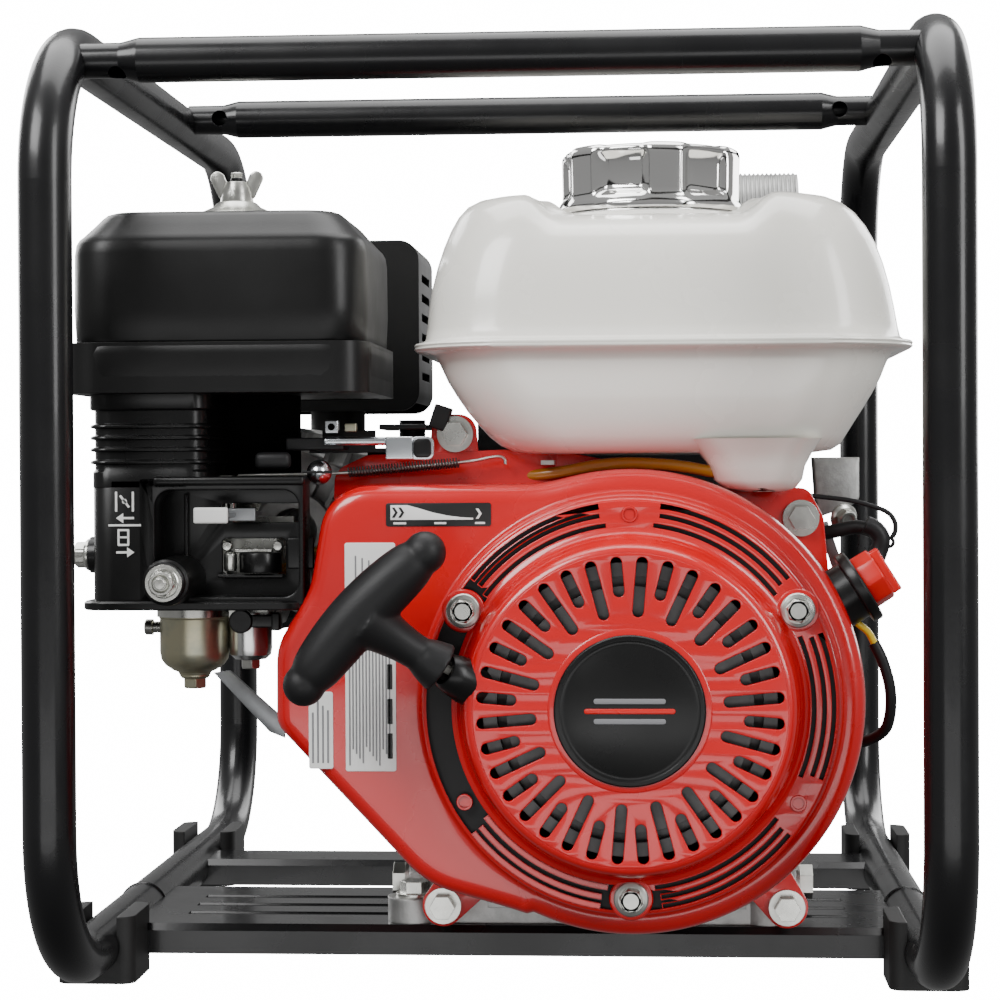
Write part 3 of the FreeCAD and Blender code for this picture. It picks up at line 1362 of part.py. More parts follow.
def pump_casing():
    """Cast casing: drum and priming chamber, foot below, and the suction stub cast on the rear."""
    plate_y, plate_w = D["pump_plate_front"], D["pump_plate_rear"] - D["pump_plate_front"]
    outer = [
        casing_block("Casing", 0.0, PF, PB),
        box((104, plate_w, 10.9), (PX - 52, plate_y, D["plate_top"])),
        box((36, plate_w, 40), (PX - 18, plate_y, D["plate_top"]))]
    outer += [rod(10, 20, (PX + 78 * side, PB - 20, CZ), "y") for side in (-1, 1)]
    outer += [rod(42, 9, (PX, PB - 1, D["inlet_z"]), "y"), rod(PIPE_R, 35, (PX, PB, D["inlet_z"]), "y")]
    tools = [casing_block("Room", -7.0, PF + 7, PB - 6), rod(22, 20, (PX, PF - 5, CZ), "y"),
             rod(PIPE_BORE, 20, (PX, D["outlet_y"], CZ + 150)), rod(16, 20, (PX, FILL_Y, CZ + 150)),
             rod(PIPE_BORE, 60, (PX, PB - 20, D["inlet_z"]), "y"), rod(58.1, 20, (PX, PB - 10, CZ), "y")]
    tools += [rod(4.6, 30, (PX + 78 * side, PB - 16, CZ), "y") for side in (-1, 1)]
    tools += [rod(4.1, 20, (x, y, D["plate_top"] - 2)) for x, y in PUMP_BOLTS]
    return node("pump_casing", cut(fuse(*outer), *tools))


FILL_Y = D["outlet_y"] + 65


def impeller():
    """Open trash impeller: a back plate on the shaft with two thick curved vanes."""
    plate = rod(62, 6, (PX, PF + 16, CZ), "y")
    hub = rod(18, 20, (PX, PF + 16, CZ), "y")
    vanes = []
    for k in range(2):
        vane = cut(rod(34, 14, (PX + 26 * (1 - 2 * k), PF + 20, CZ), "y"),
                   rod(27, 16, (PX + 27 * (1 - 2 * k), PF + 21, CZ + 6 * (1 - 2 * k)), "y"),
                   box((200, 40, 100), (PX - 100, PF + 15, CZ if k else CZ - 100)))
        vanes.append(vane)
    return node("impeller", cut(fuse(plate, hub, *vanes), rod(9.5, 80, (PX, PF, CZ), "y")))


def seal():
    """Mechanical seal: the fixed seat in the casing's front wall."""
    ring = fuse(rod(22, 10, (PX, PF - 3, CZ), "y"), rod(25, 3, (PX, PF + 7, CZ), "y"))
    return cut(ring, rod(9.56, 40, (PX, PF - 10, CZ), "y"))


def volute():
    """Cast volute insert round the impeller, with its eye to the rear and its throat upwards."""
    front = PF + 11
    ring = cut(rod(74, 34, (PX, front, CZ), "y"), rod(64.5, 28, (PX, front - 1, CZ), "y"))
    throat = cut(box((34, 34, 80), (PX + 38, front, CZ)), box((26, 26, 90), (PX + 42, front + 4, CZ - 5)))
    return node("volute", cut(fuse(ring, throat), rod(27, 50, (PX, front, CZ), "y"),
                              rod(64.4, 28, (PX, front - 1, CZ), "y")))


def clean_out_cover():
    """Round rear cover with a rib across it and two ears for the hand knobs."""
    cover = fuse(rod(74, 9, (PX, PB + 0.4, CZ), "y"), box((170, 9, 26), (PX - 85, PB + 0.4, CZ - 13)),
                 rod(40, 14, (PX, PB + 0.4, CZ), "y"))
    holes = [rod(5.5, 30, (PX + 78 * side, PB - 5, CZ), "y") for side in (-1, 1)]
    spigot = cut(rod(58, 8, (PX, PB + 1, CZ), "-y"), rod(52, 12, (PX, PB + 2, CZ), "-y"))
    return node("clean_out_cover", fuse(cut(cover, *holes), spigot))


def cover_knob(side):
    """Four-lobed hand knob on its stud."""
    at = (PX + 78 * side, PB + 9.8, CZ)
    lobes = [
        rod(7, 12, (at[0] + 11 * math.cos(a), at[1], CZ + 11 * math.sin(a)), "y") for a in COVER_ANGLES]
    knob = fuse(rod(14, 12, at, "y"), *lobes)
    name = "cover_knob_left" if side < 0 else "cover_knob_right"
    return node(name, fuse(knob, rod(4.5, 24, at, "-y")))


def discharge_elbow():
    """Cast elbow on top of the casing, turning the outlet to the right, with a male hose thread."""
    base = CZ + 160
    y, z = D["outlet_y"], D["outlet_z"]
    upright = [rod(37, 9, (PX, y, base)), rod(32, z - base, (PX, y, base)), ball(32, (55.0, 92.0, 356.0)),
               rod(32, 46, (PX, y, z), "x")]
    stub = [rod(PIPE_R, D["outlet_end"] - PX - 20, (PX + 20, y, z), "x")]
    bores = [rod(PIPE_BORE, z - base + 5, (PX, y, base - 5)), ball(PIPE_BORE, (55.0, 92.0, 356.0)),
             rod(PIPE_BORE, 120, (PX, y, z), "x")]
    return node("discharge_elbow", cut(fuse(*upright, *stub), *bores))


def check_flap():
    """Rubber check-valve flap inside the casing, hung from its top edge."""
    disc = rod(30, 5, (PX, PB - 12.5, D["inlet_z"]), "y")
    tab = box((16, 5, 12), (PX - 8, PB - 12.5, D["inlet_z"] + 22))
    pin = rod(2.5, 24, (PX - 12, PB - 10, D["inlet_z"] + 32), "x")
    return node("suction_check_flap", fuse(disc, tab, pin))


def fill_cap():
    at = (PX, FILL_Y, CZ + 160.3)
    plug = rod(15.7, 12, at, "-z")
    return node("priming_cap",
                fuse(rod(20, 12, at), plug, box((8, 40, 10), (PX - 4, FILL_Y - 20, CZ + 171))))


pump_adapter()
pump_casing()
impeller()
node("bearings_and_seal", group(*BEARINGS, seal()))
volute()
clean_out_cover()
cover_knob(-1)
cover_knob(1)
discharge_elbow()
check_flap()
fill_cap()

# ---------------------------------------------------------------- check and write
doc.recompute()
failed = [thing.Label for thing in doc.Objects if {"Invalid", "Error"} & set(thing.State)]
failed += [name for name, thing in NODES.items() if thing.Shape.isNull() or not thing.Shape.isValid()]
if failed:
    raise RuntimeError(f"failed: {failed}")
os.makedirs("parts", exist_ok=True)
for old in os.listdir("parts"):
    os.remove(os.path.join("parts", old))
for name, thing in NODES.items():
    thing.Shape.exportStep(f"parts/{name}.step")
print(len(NODES), "nodes written")
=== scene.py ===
import json
import math

import bmesh
import bpy
import numpy as np
from mathutils import Matrix, Vector


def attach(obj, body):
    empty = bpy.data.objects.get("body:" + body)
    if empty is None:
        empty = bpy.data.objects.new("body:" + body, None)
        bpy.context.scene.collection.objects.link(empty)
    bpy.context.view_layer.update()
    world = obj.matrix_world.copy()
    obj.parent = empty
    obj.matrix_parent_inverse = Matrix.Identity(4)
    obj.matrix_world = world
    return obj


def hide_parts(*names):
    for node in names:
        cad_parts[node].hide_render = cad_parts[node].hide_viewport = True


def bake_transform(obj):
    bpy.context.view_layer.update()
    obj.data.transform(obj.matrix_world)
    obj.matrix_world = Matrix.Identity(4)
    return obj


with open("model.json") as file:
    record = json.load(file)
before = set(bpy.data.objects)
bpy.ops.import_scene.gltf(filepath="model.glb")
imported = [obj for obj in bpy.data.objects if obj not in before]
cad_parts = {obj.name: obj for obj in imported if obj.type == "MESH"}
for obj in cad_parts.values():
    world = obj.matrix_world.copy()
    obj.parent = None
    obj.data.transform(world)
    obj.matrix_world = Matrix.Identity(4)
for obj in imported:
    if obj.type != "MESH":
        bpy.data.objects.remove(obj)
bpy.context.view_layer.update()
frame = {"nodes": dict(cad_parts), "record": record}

MM = 0.001
TAU = 2 * math.pi
CRANK_X, CRANK_Z = 55.0, 128.0
CAP_X, CAP_Y = 64.0, -80.0


# ------------------------------------------------------------------ finishes
def finish_of(
        name, colour, rough, metal=0.0, coat=0.0, coat_rough=0.06, grain=0.0, grain_mm=0.5, mottle=0.0,
        uneven=0.05, edge=0.45, tint=None, specular=0.5):
    """A procedural finish: unevenly rough, faintly grained, with softened edges and grime in the colour."""
    made = bpy.data.materials.new(name)
    made.use_nodes = True
    tree = made.node_tree
    shader = tree.nodes["Principled BSDF"]
    shader.inputs["Base Color"].default_value = (*colour, 1.0)
    shader.inputs["Roughness"].default_value = rough
    shader.inputs["Metallic"].default_value = metal
    shader.inputs["Coat Weight"].default_value = coat
    shader.inputs["Coat Roughness"].default_value = coat_rough
    shader.inputs["Specular IOR Level"].default_value = specular
    where = tree.nodes.new("ShaderNodeTexCoord")
    patches = tree.nodes.new("ShaderNodeTexNoise")
    patches.inputs["Scale"].default_value = 28.0
    patches.inputs["Detail"].default_value = 5.0
    tree.links.new(where.outputs["Object"], patches.inputs["Vector"])
    span = tree.nodes.new("ShaderNodeMapRange")
    span.inputs["From Min"].default_value = 0.3
    span.inputs["From Max"].default_value = 0.7
    span.inputs["To Min"].default_value = max(0.02, rough - uneven)
    span.inputs["To Max"].default_value = min(1.0, rough + uneven)
    tree.links.new(patches.outputs["Fac"], span.inputs["Value"])
    tree.links.new(span.outputs["Result"], shader.inputs["Roughness"])
    if mottle:
        mix = tree.nodes.new("ShaderNodeMix")
        mix.data_type = "RGBA"
        mix.blend_type = "MIX"
        other = tint or [c * (1 - mottle) for c in colour]
        mix.inputs[6].default_value = (*colour, 1.0)
        mix.inputs[7].default_value = (*other, 1.0)
        blot = tree.nodes.new("ShaderNodeTexNoise")
        blot.inputs["Scale"].default_value = 70.0
        blot.inputs["Detail"].default_value = 8.0
        blot.inputs["Roughness"].default_value = 0.65
        tree.links.new(where.outputs["Object"], blot.inputs["Vector"])
        sharpen = tree.nodes.new("ShaderNodeMapRange")
        sharpen.inputs["From Min"].default_value = 0.42
        sharpen.inputs["From Max"].default_value = 0.68
        tree.links.new(blot.outputs["Fac"], sharpen.inputs["Value"])
        tree.links.new(sharpen.outputs["Result"], mix.inputs[0])
        tree.links.new(mix.outputs[2], shader.inputs["Base Color"])
    soft = tree.nodes.new("ShaderNodeBevel")
    soft.samples = 4
    soft.inputs["Radius"].default_value = edge * MM
    normal = soft.outputs["Normal"]
    if grain:
        fine = tree.nodes.new("ShaderNodeTexNoise")
        fine.inputs["Scale"].default_value = 1000.0 / (grain_mm * 3)
        fine.inputs["Detail"].default_value = 3.0
        tree.links.new(where.outputs["Object"], fine.inputs["Vector"])
        bump = tree.nodes.new("ShaderNodeBump")
        bump.inputs["Strength"].default_value = grain
        bump.inputs["Distance"].default_value = grain_mm * MM * 0.3
        tree.links.new(fine.outputs["Fac"], bump.inputs["Height"])
        tree.links.new(normal, bump.inputs["Normal"])
        normal = bump.outputs["Normal"]
    tree.links.new(normal, shader.inputs["Normal"])
    return made


LOOKS = {
    "frame_paint": finish_of(
        "frame_paint", (0.004, 0.004, 0.0045), 0.27, coat=0.12, grain=0.10, grain_mm=0.8, specular=0.38),
    "red_paint": finish_of("red_paint", (0.56, 0.0015, 0.004), 0.26, coat=0.6, coat_rough=0.06, edge=0.6),
    "white_paint": finish_of(
        "white_paint", (0.86, 0.84, 0.775), 0.26, coat=0.5, coat_rough=0.10, grain=0.05, grain_mm=1.2),
    "chrome": finish_of("chrome", (0.78, 0.775, 0.76), 0.07, metal=1.0, uneven=0.03, edge=0.6),
    "black_plastic": finish_of(
        "black_plastic", (0.004, 0.004, 0.004), 0.36, grain=0.22, grain_mm=0.35, specular=0.32),
    "smooth_black": finish_of(
        "smooth_black", (0.004, 0.004, 0.004), 0.30, grain=0.12, grain_mm=0.4, specular=0.35),
    "matte_black": finish_of(
        "matte_black", (0.008, 0.008, 0.0085), 0.48, grain=0.35, grain_mm=0.35, specular=0.3),
    # near-lightless, almost unreflecting black: painted shade for voids and holes
    "painted_shade_black": finish_of("painted_shade_black", (0.002, 0.002, 0.002), 0.8, specular=0.05),
    "red_plastic": finish_of("red_plastic", (0.62, 0.006, 0.003), 0.28, edge=0.9),
    "grey_plastic": finish_of("grey_plastic", (0.55, 0.56, 0.55), 0.40, edge=0.5),
    "cast_aluminium": finish_of(
        "cast_aluminium", (0.46, 0.46, 0.45), 0.48, metal=0.85, grain=0.7, grain_mm=0.7, mottle=0.35,
        edge=0.8),
    "zinc_steel": finish_of("zinc_steel", (0.62, 0.62, 0.58), 0.28, metal=1.0, mottle=0.25, edge=0.35),
    "yellow_zinc": finish_of(
        "yellow_zinc", (0.50, 0.47, 0.33), 0.36, metal=0.9, mottle=0.35, tint=(0.36, 0.37, 0.30)),
    "dark_steel": finish_of("dark_steel", (0.09, 0.09, 0.09), 0.40, metal=0.9, mottle=0.3),
    "cast_iron": finish_of(
        "cast_iron", (0.10, 0.10, 0.10), 0.55, metal=0.6, grain=0.8, grain_mm=0.7, mottle=0.3),
    "black_paint": finish_of(
        "black_paint", (0.006, 0.006, 0.006), 0.45, grain=0.3, grain_mm=0.5, specular=0.3),
    "pump_paint": finish_of(
        "pump_paint", (0.007, 0.007, 0.0075), 0.38, coat=0.1, grain=0.9, grain_mm=1.3, edge=1.6,
        specular=0.35),
    "rubber": finish_of("rubber", (0.006, 0.006, 0.006), 0.58, grain=0.4, grain_mm=0.4, edge=1.0),
    "amber_hose": finish_of("amber_hose", (0.36, 0.17, 0.012), 0.22, coat=0.4),
    "yellow_lead": finish_of("yellow_lead", (0.75, 0.55, 0.03), 0.35),
    "rope": finish_of("rope", (0.70, 0.68, 0.62), 0.85, grain=1.0, grain_mm=0.8),
    "foam": finish_of("foam", (0.30, 0.26, 0.17), 0.95, grain=1.0, grain_mm=1.5),
    "zinc_bright": finish_of("zinc_bright", (0.72, 0.75, 0.78), 0.22, metal=1.0, mottle=0.12, edge=0.5),
    "chrome_dull": finish_of("chrome_dull", (0.70, 0.71, 0.70), 0.26, metal=1.0, mottle=0.15, edge=0.5),
    "grey_metal": finish_of("grey_metal", (0.34, 0.35, 0.36), 0.38, metal=0.8, mottle=0.2, edge=0.4),
    "label_white": finish_of("label_white", (0.80, 0.80, 0.78), 0.40, edge=0.05),
    "label_black": finish_of("label_black", (0.008, 0.008, 0.008), 0.38, edge=0.05),
    "label_grey": finish_of("label_grey", (0.20, 0.20, 0.21), 0.45, edge=0.05),
}
for part in frame["record"]["subparts"]:
    cad = frame["nodes"][part["node"]]
    cad.data.materials.clear()
    cad.data.materials.append(LOOKS[part["material_slot"]])
for node, look in (
        ("carburettor_bowls", "yellow_zinc"), ("starter_centre_disc", "smooth_black"),
        ("engine_switch_base", "smooth_black"), ("spark_plug", "matte_black")):
    frame["nodes"][node].data.materials.clear()
    frame["nodes"][node].data.materials.append(LOOKS[look])


# what most pieces are: a finish, the body that they ride on and the slot that they fill
BLACK = ("smooth_black", "chassis", "black_plastic")
MATTE = ("matte_black", "chassis", "black_plastic")
ZINC = ("zinc_steel", "chassis", "zinc_steel")
BRIGHT = ("zinc_bright", "chassis", "zinc_steel")
YELLOW = ("yellow_zinc", "chassis", "zinc_steel")
RED = ("red_paint", "chassis", "red_paint")
WHITE = ("white_paint", "chassis", "white_paint")
NUT = ("zinc_steel", "wing_nut", "zinc_steel")
LEVER = ("zinc_bright", "throttle_lever", "zinc_steel")
LEVER_ZINC = ("zinc_steel", "throttle_lever", "zinc_steel")
CHOKE = ("grey_metal", "choke_lever", "grey_plastic")
VALVE = ("smooth_black", "fuel_valve_lever", "black_plastic")
FRONT = ((0, -1, 0), (0, 0, 1))
CRANK = ((CRANK_X, 0, CRANK_Z), (0, 1, 0))


# ------------------------------------------------------------------ mesh helpers, all in millimetres
def finished(name, mesh, look, body, sharp=38.0):
    """Names a mesh, makes it smooth except over sharp edges, gives its finish and sets it riding."""
    work = bmesh.new()
    work.from_mesh(mesh)
    bmesh.ops.remove_doubles(work, verts=work.verts, dist=1e-6)
    bmesh.ops.recalc_face_normals(work, faces=work.faces)
    for face in work.faces:
        face.smooth = True
    for edge in work.edges:
        edge.smooth = len(edge.link_faces) == 2 and edge.calc_face_angle(0.0) < math.radians(sharp)
    work.to_mesh(mesh)
    work.free()
    mesh.materials.clear()
    mesh.materials.append(LOOKS[look])
    thing = bpy.data.objects.new(name, mesh)
    bpy.context.scene.collection.objects.link(thing)
    if body:
        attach(thing, body)
    return thing


def skin(name, rings, look, body, slot, low=False, high=False, sharp=38.0, thick=0.0):
    """Quads between closed rings of equal count; either end may be closed."""
    count = len(rings[0])
    points = [tuple(float(c) * MM for c in p) for ring in rings for p in ring]
    faces = []
    for k in range(len(rings) - 1):
        for i in range(count):
            j = (i + 1) % count
            faces.append((k * count + i, k * count + j, (k + 1) * count + j, (k + 1) * count + i))
    if low:
        faces.append(tuple(range(count)))
    if high:
        faces.append(tuple(range((len(rings) - 1) * count, len(rings) * count)))
    mesh = bpy.data.meshes.new(name)
    mesh.from_pydata(points, [], faces)
    thing = finished(name, mesh, look, body, sharp)
    if thick:
        wall = thing.modifiers.new("Wall", "SOLIDIFY")
        wall.thickness = thick * MM
        wall.offset = -1.0
    return thing


def frame_of(axis):
    """Two directions square to an axis, and the axis."""
    along = Vector(axis).normalized()
    side = along.orthogonal().normalized()
    return side, along.cross(side), along


def turned(name, profile, at, axis, look, body, slot, steps=72, sharp=32.0):
    """A body of revolution: the profile is (radius, distance along the axis)."""
    side, up, along = frame_of(axis)
    rings = []
    for radius, step in profile:
        ring = []
        for i in range(steps):
            a = TAU * i / steps
            p = Vector(at) + along * step + (side * math.cos(a) + up * math.sin(a)) * max(radius, 1e-3)
            ring.append(tuple(p))
        rings.append(ring)
    closed = profile[0] == profile[-1]
    return skin(name, rings, look, body, slot, low=not closed, high=not closed, sharp=sharp)


def hexagon(name, at, axis, flats, height, look, body, slot, washer=None):
    """A chamfered hexagon head, with a flange below it and a shallow dish on top."""
    side, up, along = frame_of(axis)
    corner = flats / 2 / math.cos(math.pi / 6)
    rings = []
    steps = 96

    def ring(limit, level):
        points = []
        for i in range(steps):
            a = TAU * i / steps
            flat = flats / 2 / math.cos((a % (TAU / 6)) - TAU / 12)
            p = Vector(at) + along * level + (side * math.cos(a) + up * math.sin(a)) * min(flat, limit)
            points.append(tuple(p))
        return points

    base = 0.0
    if washer:
        rings += [ring(0.0, 0.0)]
        for radius, level in ((washer, 0.0), (washer, 0.9), (washer - 0.5, 1.4), (corner + 0.2, 1.9)):
            rings.append(
                [
                    tuple(
                        Vector(at) + along * level + (
                            side * math.cos(TAU * i / steps) + up * math.sin(TAU * i / steps)) * radius)
                    for i in range(steps)])
        base = 1.8
    rings += [
        ring(corner, base), ring(corner, height - 0.8), ring(corner - 0.5, height - 0.35),
        ring(flats / 2 - 0.2, height), ring(flats / 2 - 1.2, height),
        ring(flats / 2 - 1.9, height - 0.7), ring(0.01, height - 0.8)]
    return skin(name, rings, look, body, slot, sharp=24.0)


def plate(name, loops, at, normal, up, thick, look, body, slot, bevel=0.3, sharp=30.0):
    """A flat plate from outlines, the inner ones being holes; `at` is its front face's middle."""
    curve = bpy.data.curves.new(name, "CURVE")
    curve.dimensions = "2D"
    curve.fill_mode = "BOTH"
    curve.extrude = (thick / 2 - bevel) * MM
    curve.bevel_depth = bevel * MM
    curve.bevel_resolution = 1
    curve.offset = -bevel * MM
    for loop in loops:
        spline = curve.splines.new("POLY")
        spline.points.add(len(loop) - 1)
        for point, (u, v) in zip(spline.points, loop):
            point.co = (u * MM, v * MM, 0.0, 1.0)
        spline.use_cyclic_u = True
    flat = bpy.data.objects.new(name + "_curve", curve)
    bpy.context.scene.collection.objects.link(flat)
    bpy.context.view_layer.update()
    mesh = bpy.data.meshes.new_from_object(flat.evaluated_get(bpy.context.evaluated_depsgraph_get()))
    bpy.data.objects.remove(flat)
    out = Vector(normal).normalized()
    top = (Vector(up) - out * Vector(up).dot(out)).normalized()
    right = top.cross(out)
    middle = (Vector(at) - out * thick / 2) * MM
    mesh.transform(Matrix([[right[i], top[i], out[i], middle[i]] for i in range(3)] + [[0, 0, 0, 1]]))
    return finished(name, mesh, look, body, sharp)


def circle(radius, x=0.0, y=0.0, steps=96):
    return [
        (x + radius * math.cos(TAU * i / steps), y + radius * math.sin(TAU * i / steps))
        for i in range(steps)]


def slot_loop(inner, outer, width, angle, steps=8):
    """A radial slot with round ends."""
    r = width / 2
    loop = [
        (outer - r + r * math.cos(t), r * math.sin(t))
        for t in np.linspace(-math.pi / 2, math.pi / 2, steps)]
    loop += [
        (inner + r + r * math.cos(t), r * math.sin(t))
        for t in np.linspace(math.pi / 2, 1.5 * math.pi, steps)]
    c, s = math.cos(math.radians(angle)), math.sin(math.radians(angle))
    return [(x * c - y * s, x * s + y * c) for x, y in loop]


def arc_loop(radius, width, start, end, steps=18):
    """A slot that follows an arc, with round ends."""
    loop = []
    for a in np.linspace(math.radians(start), math.radians(end), steps):
        loop.append(((radius + width / 2) * math.cos(a), (radius + width / 2) * math.sin(a)))
    for a in np.linspace(math.radians(end), math.radians(start), steps):
        loop.append(((radius - width / 2) * math.cos(a), (radius - width / 2) * math.sin(a)))
    return loop


def filleted(corners, steps=10):
    """A polygon whose corners (x, y, radius) are rounded."""
    loop = []
    count = len(corners)
    for i, (x, y, radius) in enumerate(corners):
        p = Vector((x, y))
        a = (Vector(corners[i - 1][:2]) - p).normalized()
        b = (Vector(corners[(i + 1) % count][:2]) - p).normalized()
        if radius <= 0:
            loop.append((x, y))
            continue
        half = a.angle(b) / 2
        reach = radius / math.tan(half)
        centre = p + (a + b).normalized() * (radius / math.sin(half))
        first, last = p + a * reach - centre, p + b * reach - centre
        start = math.atan2(first.y, first.x)
        sweep = (math.atan2(last.y, last.x) - start + math.pi) % TAU - math.pi
        for t in np.linspace(0, 1, steps):
            loop.append(
                (
                    centre.x + radius * math.cos(start + sweep * t),
                    centre.y + radius * math.sin(start + sweep * t)))
    return loop


def box_loop(x0, y0, x1, y1, radius, steps=10):
    return filleted([(x0, y0, radius), (x1, y0, radius), (x1, y1, radius), (x0, y1, radius)], steps)


def seen_from(loop, centre, count):
    """The loop as equally spaced directions from a point inside it: count (x, y) points."""
    dense = []
    for i, (x, y) in enumerate(loop):
        nx, ny = loop[(i + 1) % len(loop)]
        for t in np.linspace(0, 1, 24, endpoint=False):
            dense.append((x + (nx - x) * t - centre[0], y + (ny - y) * t - centre[1]))
    dense = np.array(dense)
    angle = np.arctan2(dense[:, 1], dense[:, 0]) % TAU
    order = np.argsort(angle)
    radius = np.hypot(dense[:, 0], dense[:, 1])[order]
    aims = np.arange(count) * TAU / count
    r = np.interp(aims, angle[order], radius, period=TAU)
    return np.stack([centre[0] + r * np.cos(aims), centre[1] + r * np.sin(aims)], 1)


def inward(ring, amount):
    """A plane ring moved in along its own normals."""
    ring = np.asarray(ring, float)
    tangent = np.roll(ring, -1, 0) - np.roll(ring, 1, 0)
    normal = np.stack([-tangent[:, 1], tangent[:, 0]], 1)
    normal /= np.linalg.norm(normal, axis=1)[:, None]
    return ring + normal * amount


def smoothed(points, per=12, closed=False):
    """A smooth line through points."""
    p = np.array(points, float)
    if closed:
        p = np.vstack([p[-1], p, p[0], p[1]])
    else:
        p = np.vstack([2 * p[0] - p[1], p, 2 * p[-1] - p[-2]])
    out = []
    for i in range(1, len(p) - 2):
        for t in np.linspace(0, 1, per, endpoint=False):
            a, b, c, d = p[i - 1], p[i], p[i + 1], p[i + 2]
            out.append(
                0.5 * (
                    2 * b + (c - a) * t + (
                        2 * a - 5 * b + 4 * c - d) * t ** 2 + (3 * b - a - 3 * c + d) * t ** 3))
    if not closed:
        out.append(p[-2])
    return out


def wire(name, points, radius, look, body, slot, closed=False, around=14):
    """A round wire or tube along a line; radius may be one number or one per point."""
    p = np.array(points, float)
    count = len(p)
    radii = np.full(count, float(radius)) if np.isscalar(radius) else np.array(radius, float)
    if closed:
        tangent = np.roll(p, -1, 0) - np.roll(p, 1, 0)
    else:
        tangent = np.gradient(p, axis=0)
    tangent /= np.linalg.norm(tangent, axis=1)[:, None]
    side = Vector(tangent[0]).orthogonal().normalized()
    rings = []
    for k in range(count):
        t = Vector(tangent[k])
        side = (side - t * side.dot(t)).normalized()
        up = t.cross(side)
        rings.append(
            [
                tuple(
                    Vector(p[k]) + (
                        side * math.cos(TAU * i / around) + up * math.sin(TAU * i / around)) * radii[k])
                for i in range(around)])
    if closed:
        rings.append(rings[0])
    return skin(name, rings, look, body, slot, low=not closed, high=not closed, sharp=50.0)


def block(name, low, high, look, body, slot, round_off=0.6, turn=None):
    """A box with rounded edges."""
    work = bmesh.new()
    bmesh.ops.create_cube(work, size=1.0)
    size = Vector(high) - Vector(low)
    for v in work.verts:
        v.co = Vector((v.co.x * size.x, v.co.y * size.y, v.co.z * size.z)) * MM
    bmesh.ops.bevel(
        work, geom=work.edges[:], offset=min(round_off, min(size) * 0.45) * MM, segments=3,
        affect="EDGES", profile=0.6)
    mesh = bpy.data.meshes.new(name)
    work.to_mesh(mesh)
    work.free()
    middle = Matrix.Translation((Vector(low) + Vector(high)) / 2 * MM)
    mesh.transform(middle @ turn.to_4x4() if turn else middle)
    return finished(name, mesh, look, body)


def blended(name, pieces, look, body, voxel=0.8, passes=6):
    """Pieces melted into one smooth moulding."""
    work = bmesh.new()
    for piece in pieces:
        work.from_mesh(piece.data)
        bpy.data.objects.remove(piece)
    mesh = bpy.data.meshes.new(name)
    work.to_mesh(mesh)
    work.free()
    raw = bpy.data.objects.new(name + "_raw", mesh)
    bpy.context.scene.collection.objects.link(raw)
    melt = raw.modifiers.new("Melt", "REMESH")
    melt.mode = "VOXEL"
    melt.voxel_size = voxel * MM
    ease = raw.modifiers.new("Ease", "SMOOTH")
    ease.factor = 0.6
    ease.iterations = passes
    bpy.context.view_layer.update()
    final = bpy.data.meshes.new_from_object(raw.evaluated_get(bpy.context.evaluated_depsgraph_get()))
    bpy.data.objects.remove(raw)
    return finished(name, final, look, body, 80.0)


# ------------------------------------------------------------------ fan cover
STEPS = 288
lobe = filleted(
    [
        (CRANK_X, 222.6, 0), (-77.0, 222.6, 22), (-84.5, 178.0, 30), (-99.6, 152.0, 26),
        (-99.8, 118.0, 10), (-34.0, 48.0, 45), (CRANK_X - 45, 36.0, 0), (CRANK_X, CRANK_Z - 20, 0)])
lobe_seen = seen_from(lobe, (CRANK_X, CRANK_Z - 5), STEPS)
disc_seen = seen_from(circle(101.0, CRANK_X, CRANK_Z, 360), (CRANK_X, CRANK_Z - 5), STEPS)
reach_lobe = np.hypot(*(lobe_seen - (CRANK_X, CRANK_Z - 5)).T)
reach_disc = np.hypot(*(disc_seen - (CRANK_X, CRANK_Z - 5)).T)
wider = np.log(np.exp(reach_lobe / 1.5 - 60) + np.exp(reach_disc / 1.5 - 60)) * 1.5 + 90
wider = np.maximum(np.maximum(reach_lobe, reach_disc), wider)
aims = np.arange(STEPS) * TAU / STEPS
edge_line = np.stack([CRANK_X + wider * np.cos(aims), CRANK_Z - 5 + wider * np.sin(aims)], 1)


def upright(ring, y):
    return [(x, y, z) for x, z in ring]


def mixed(outer, radius, share):
    """Between an outline and a circle about the crank, point by point."""
    ring = np.stack([CRANK_X + radius * np.cos(aims), CRANK_Z + radius * np.sin(aims)], 1)
    return outer * (1 - share) + ring * share


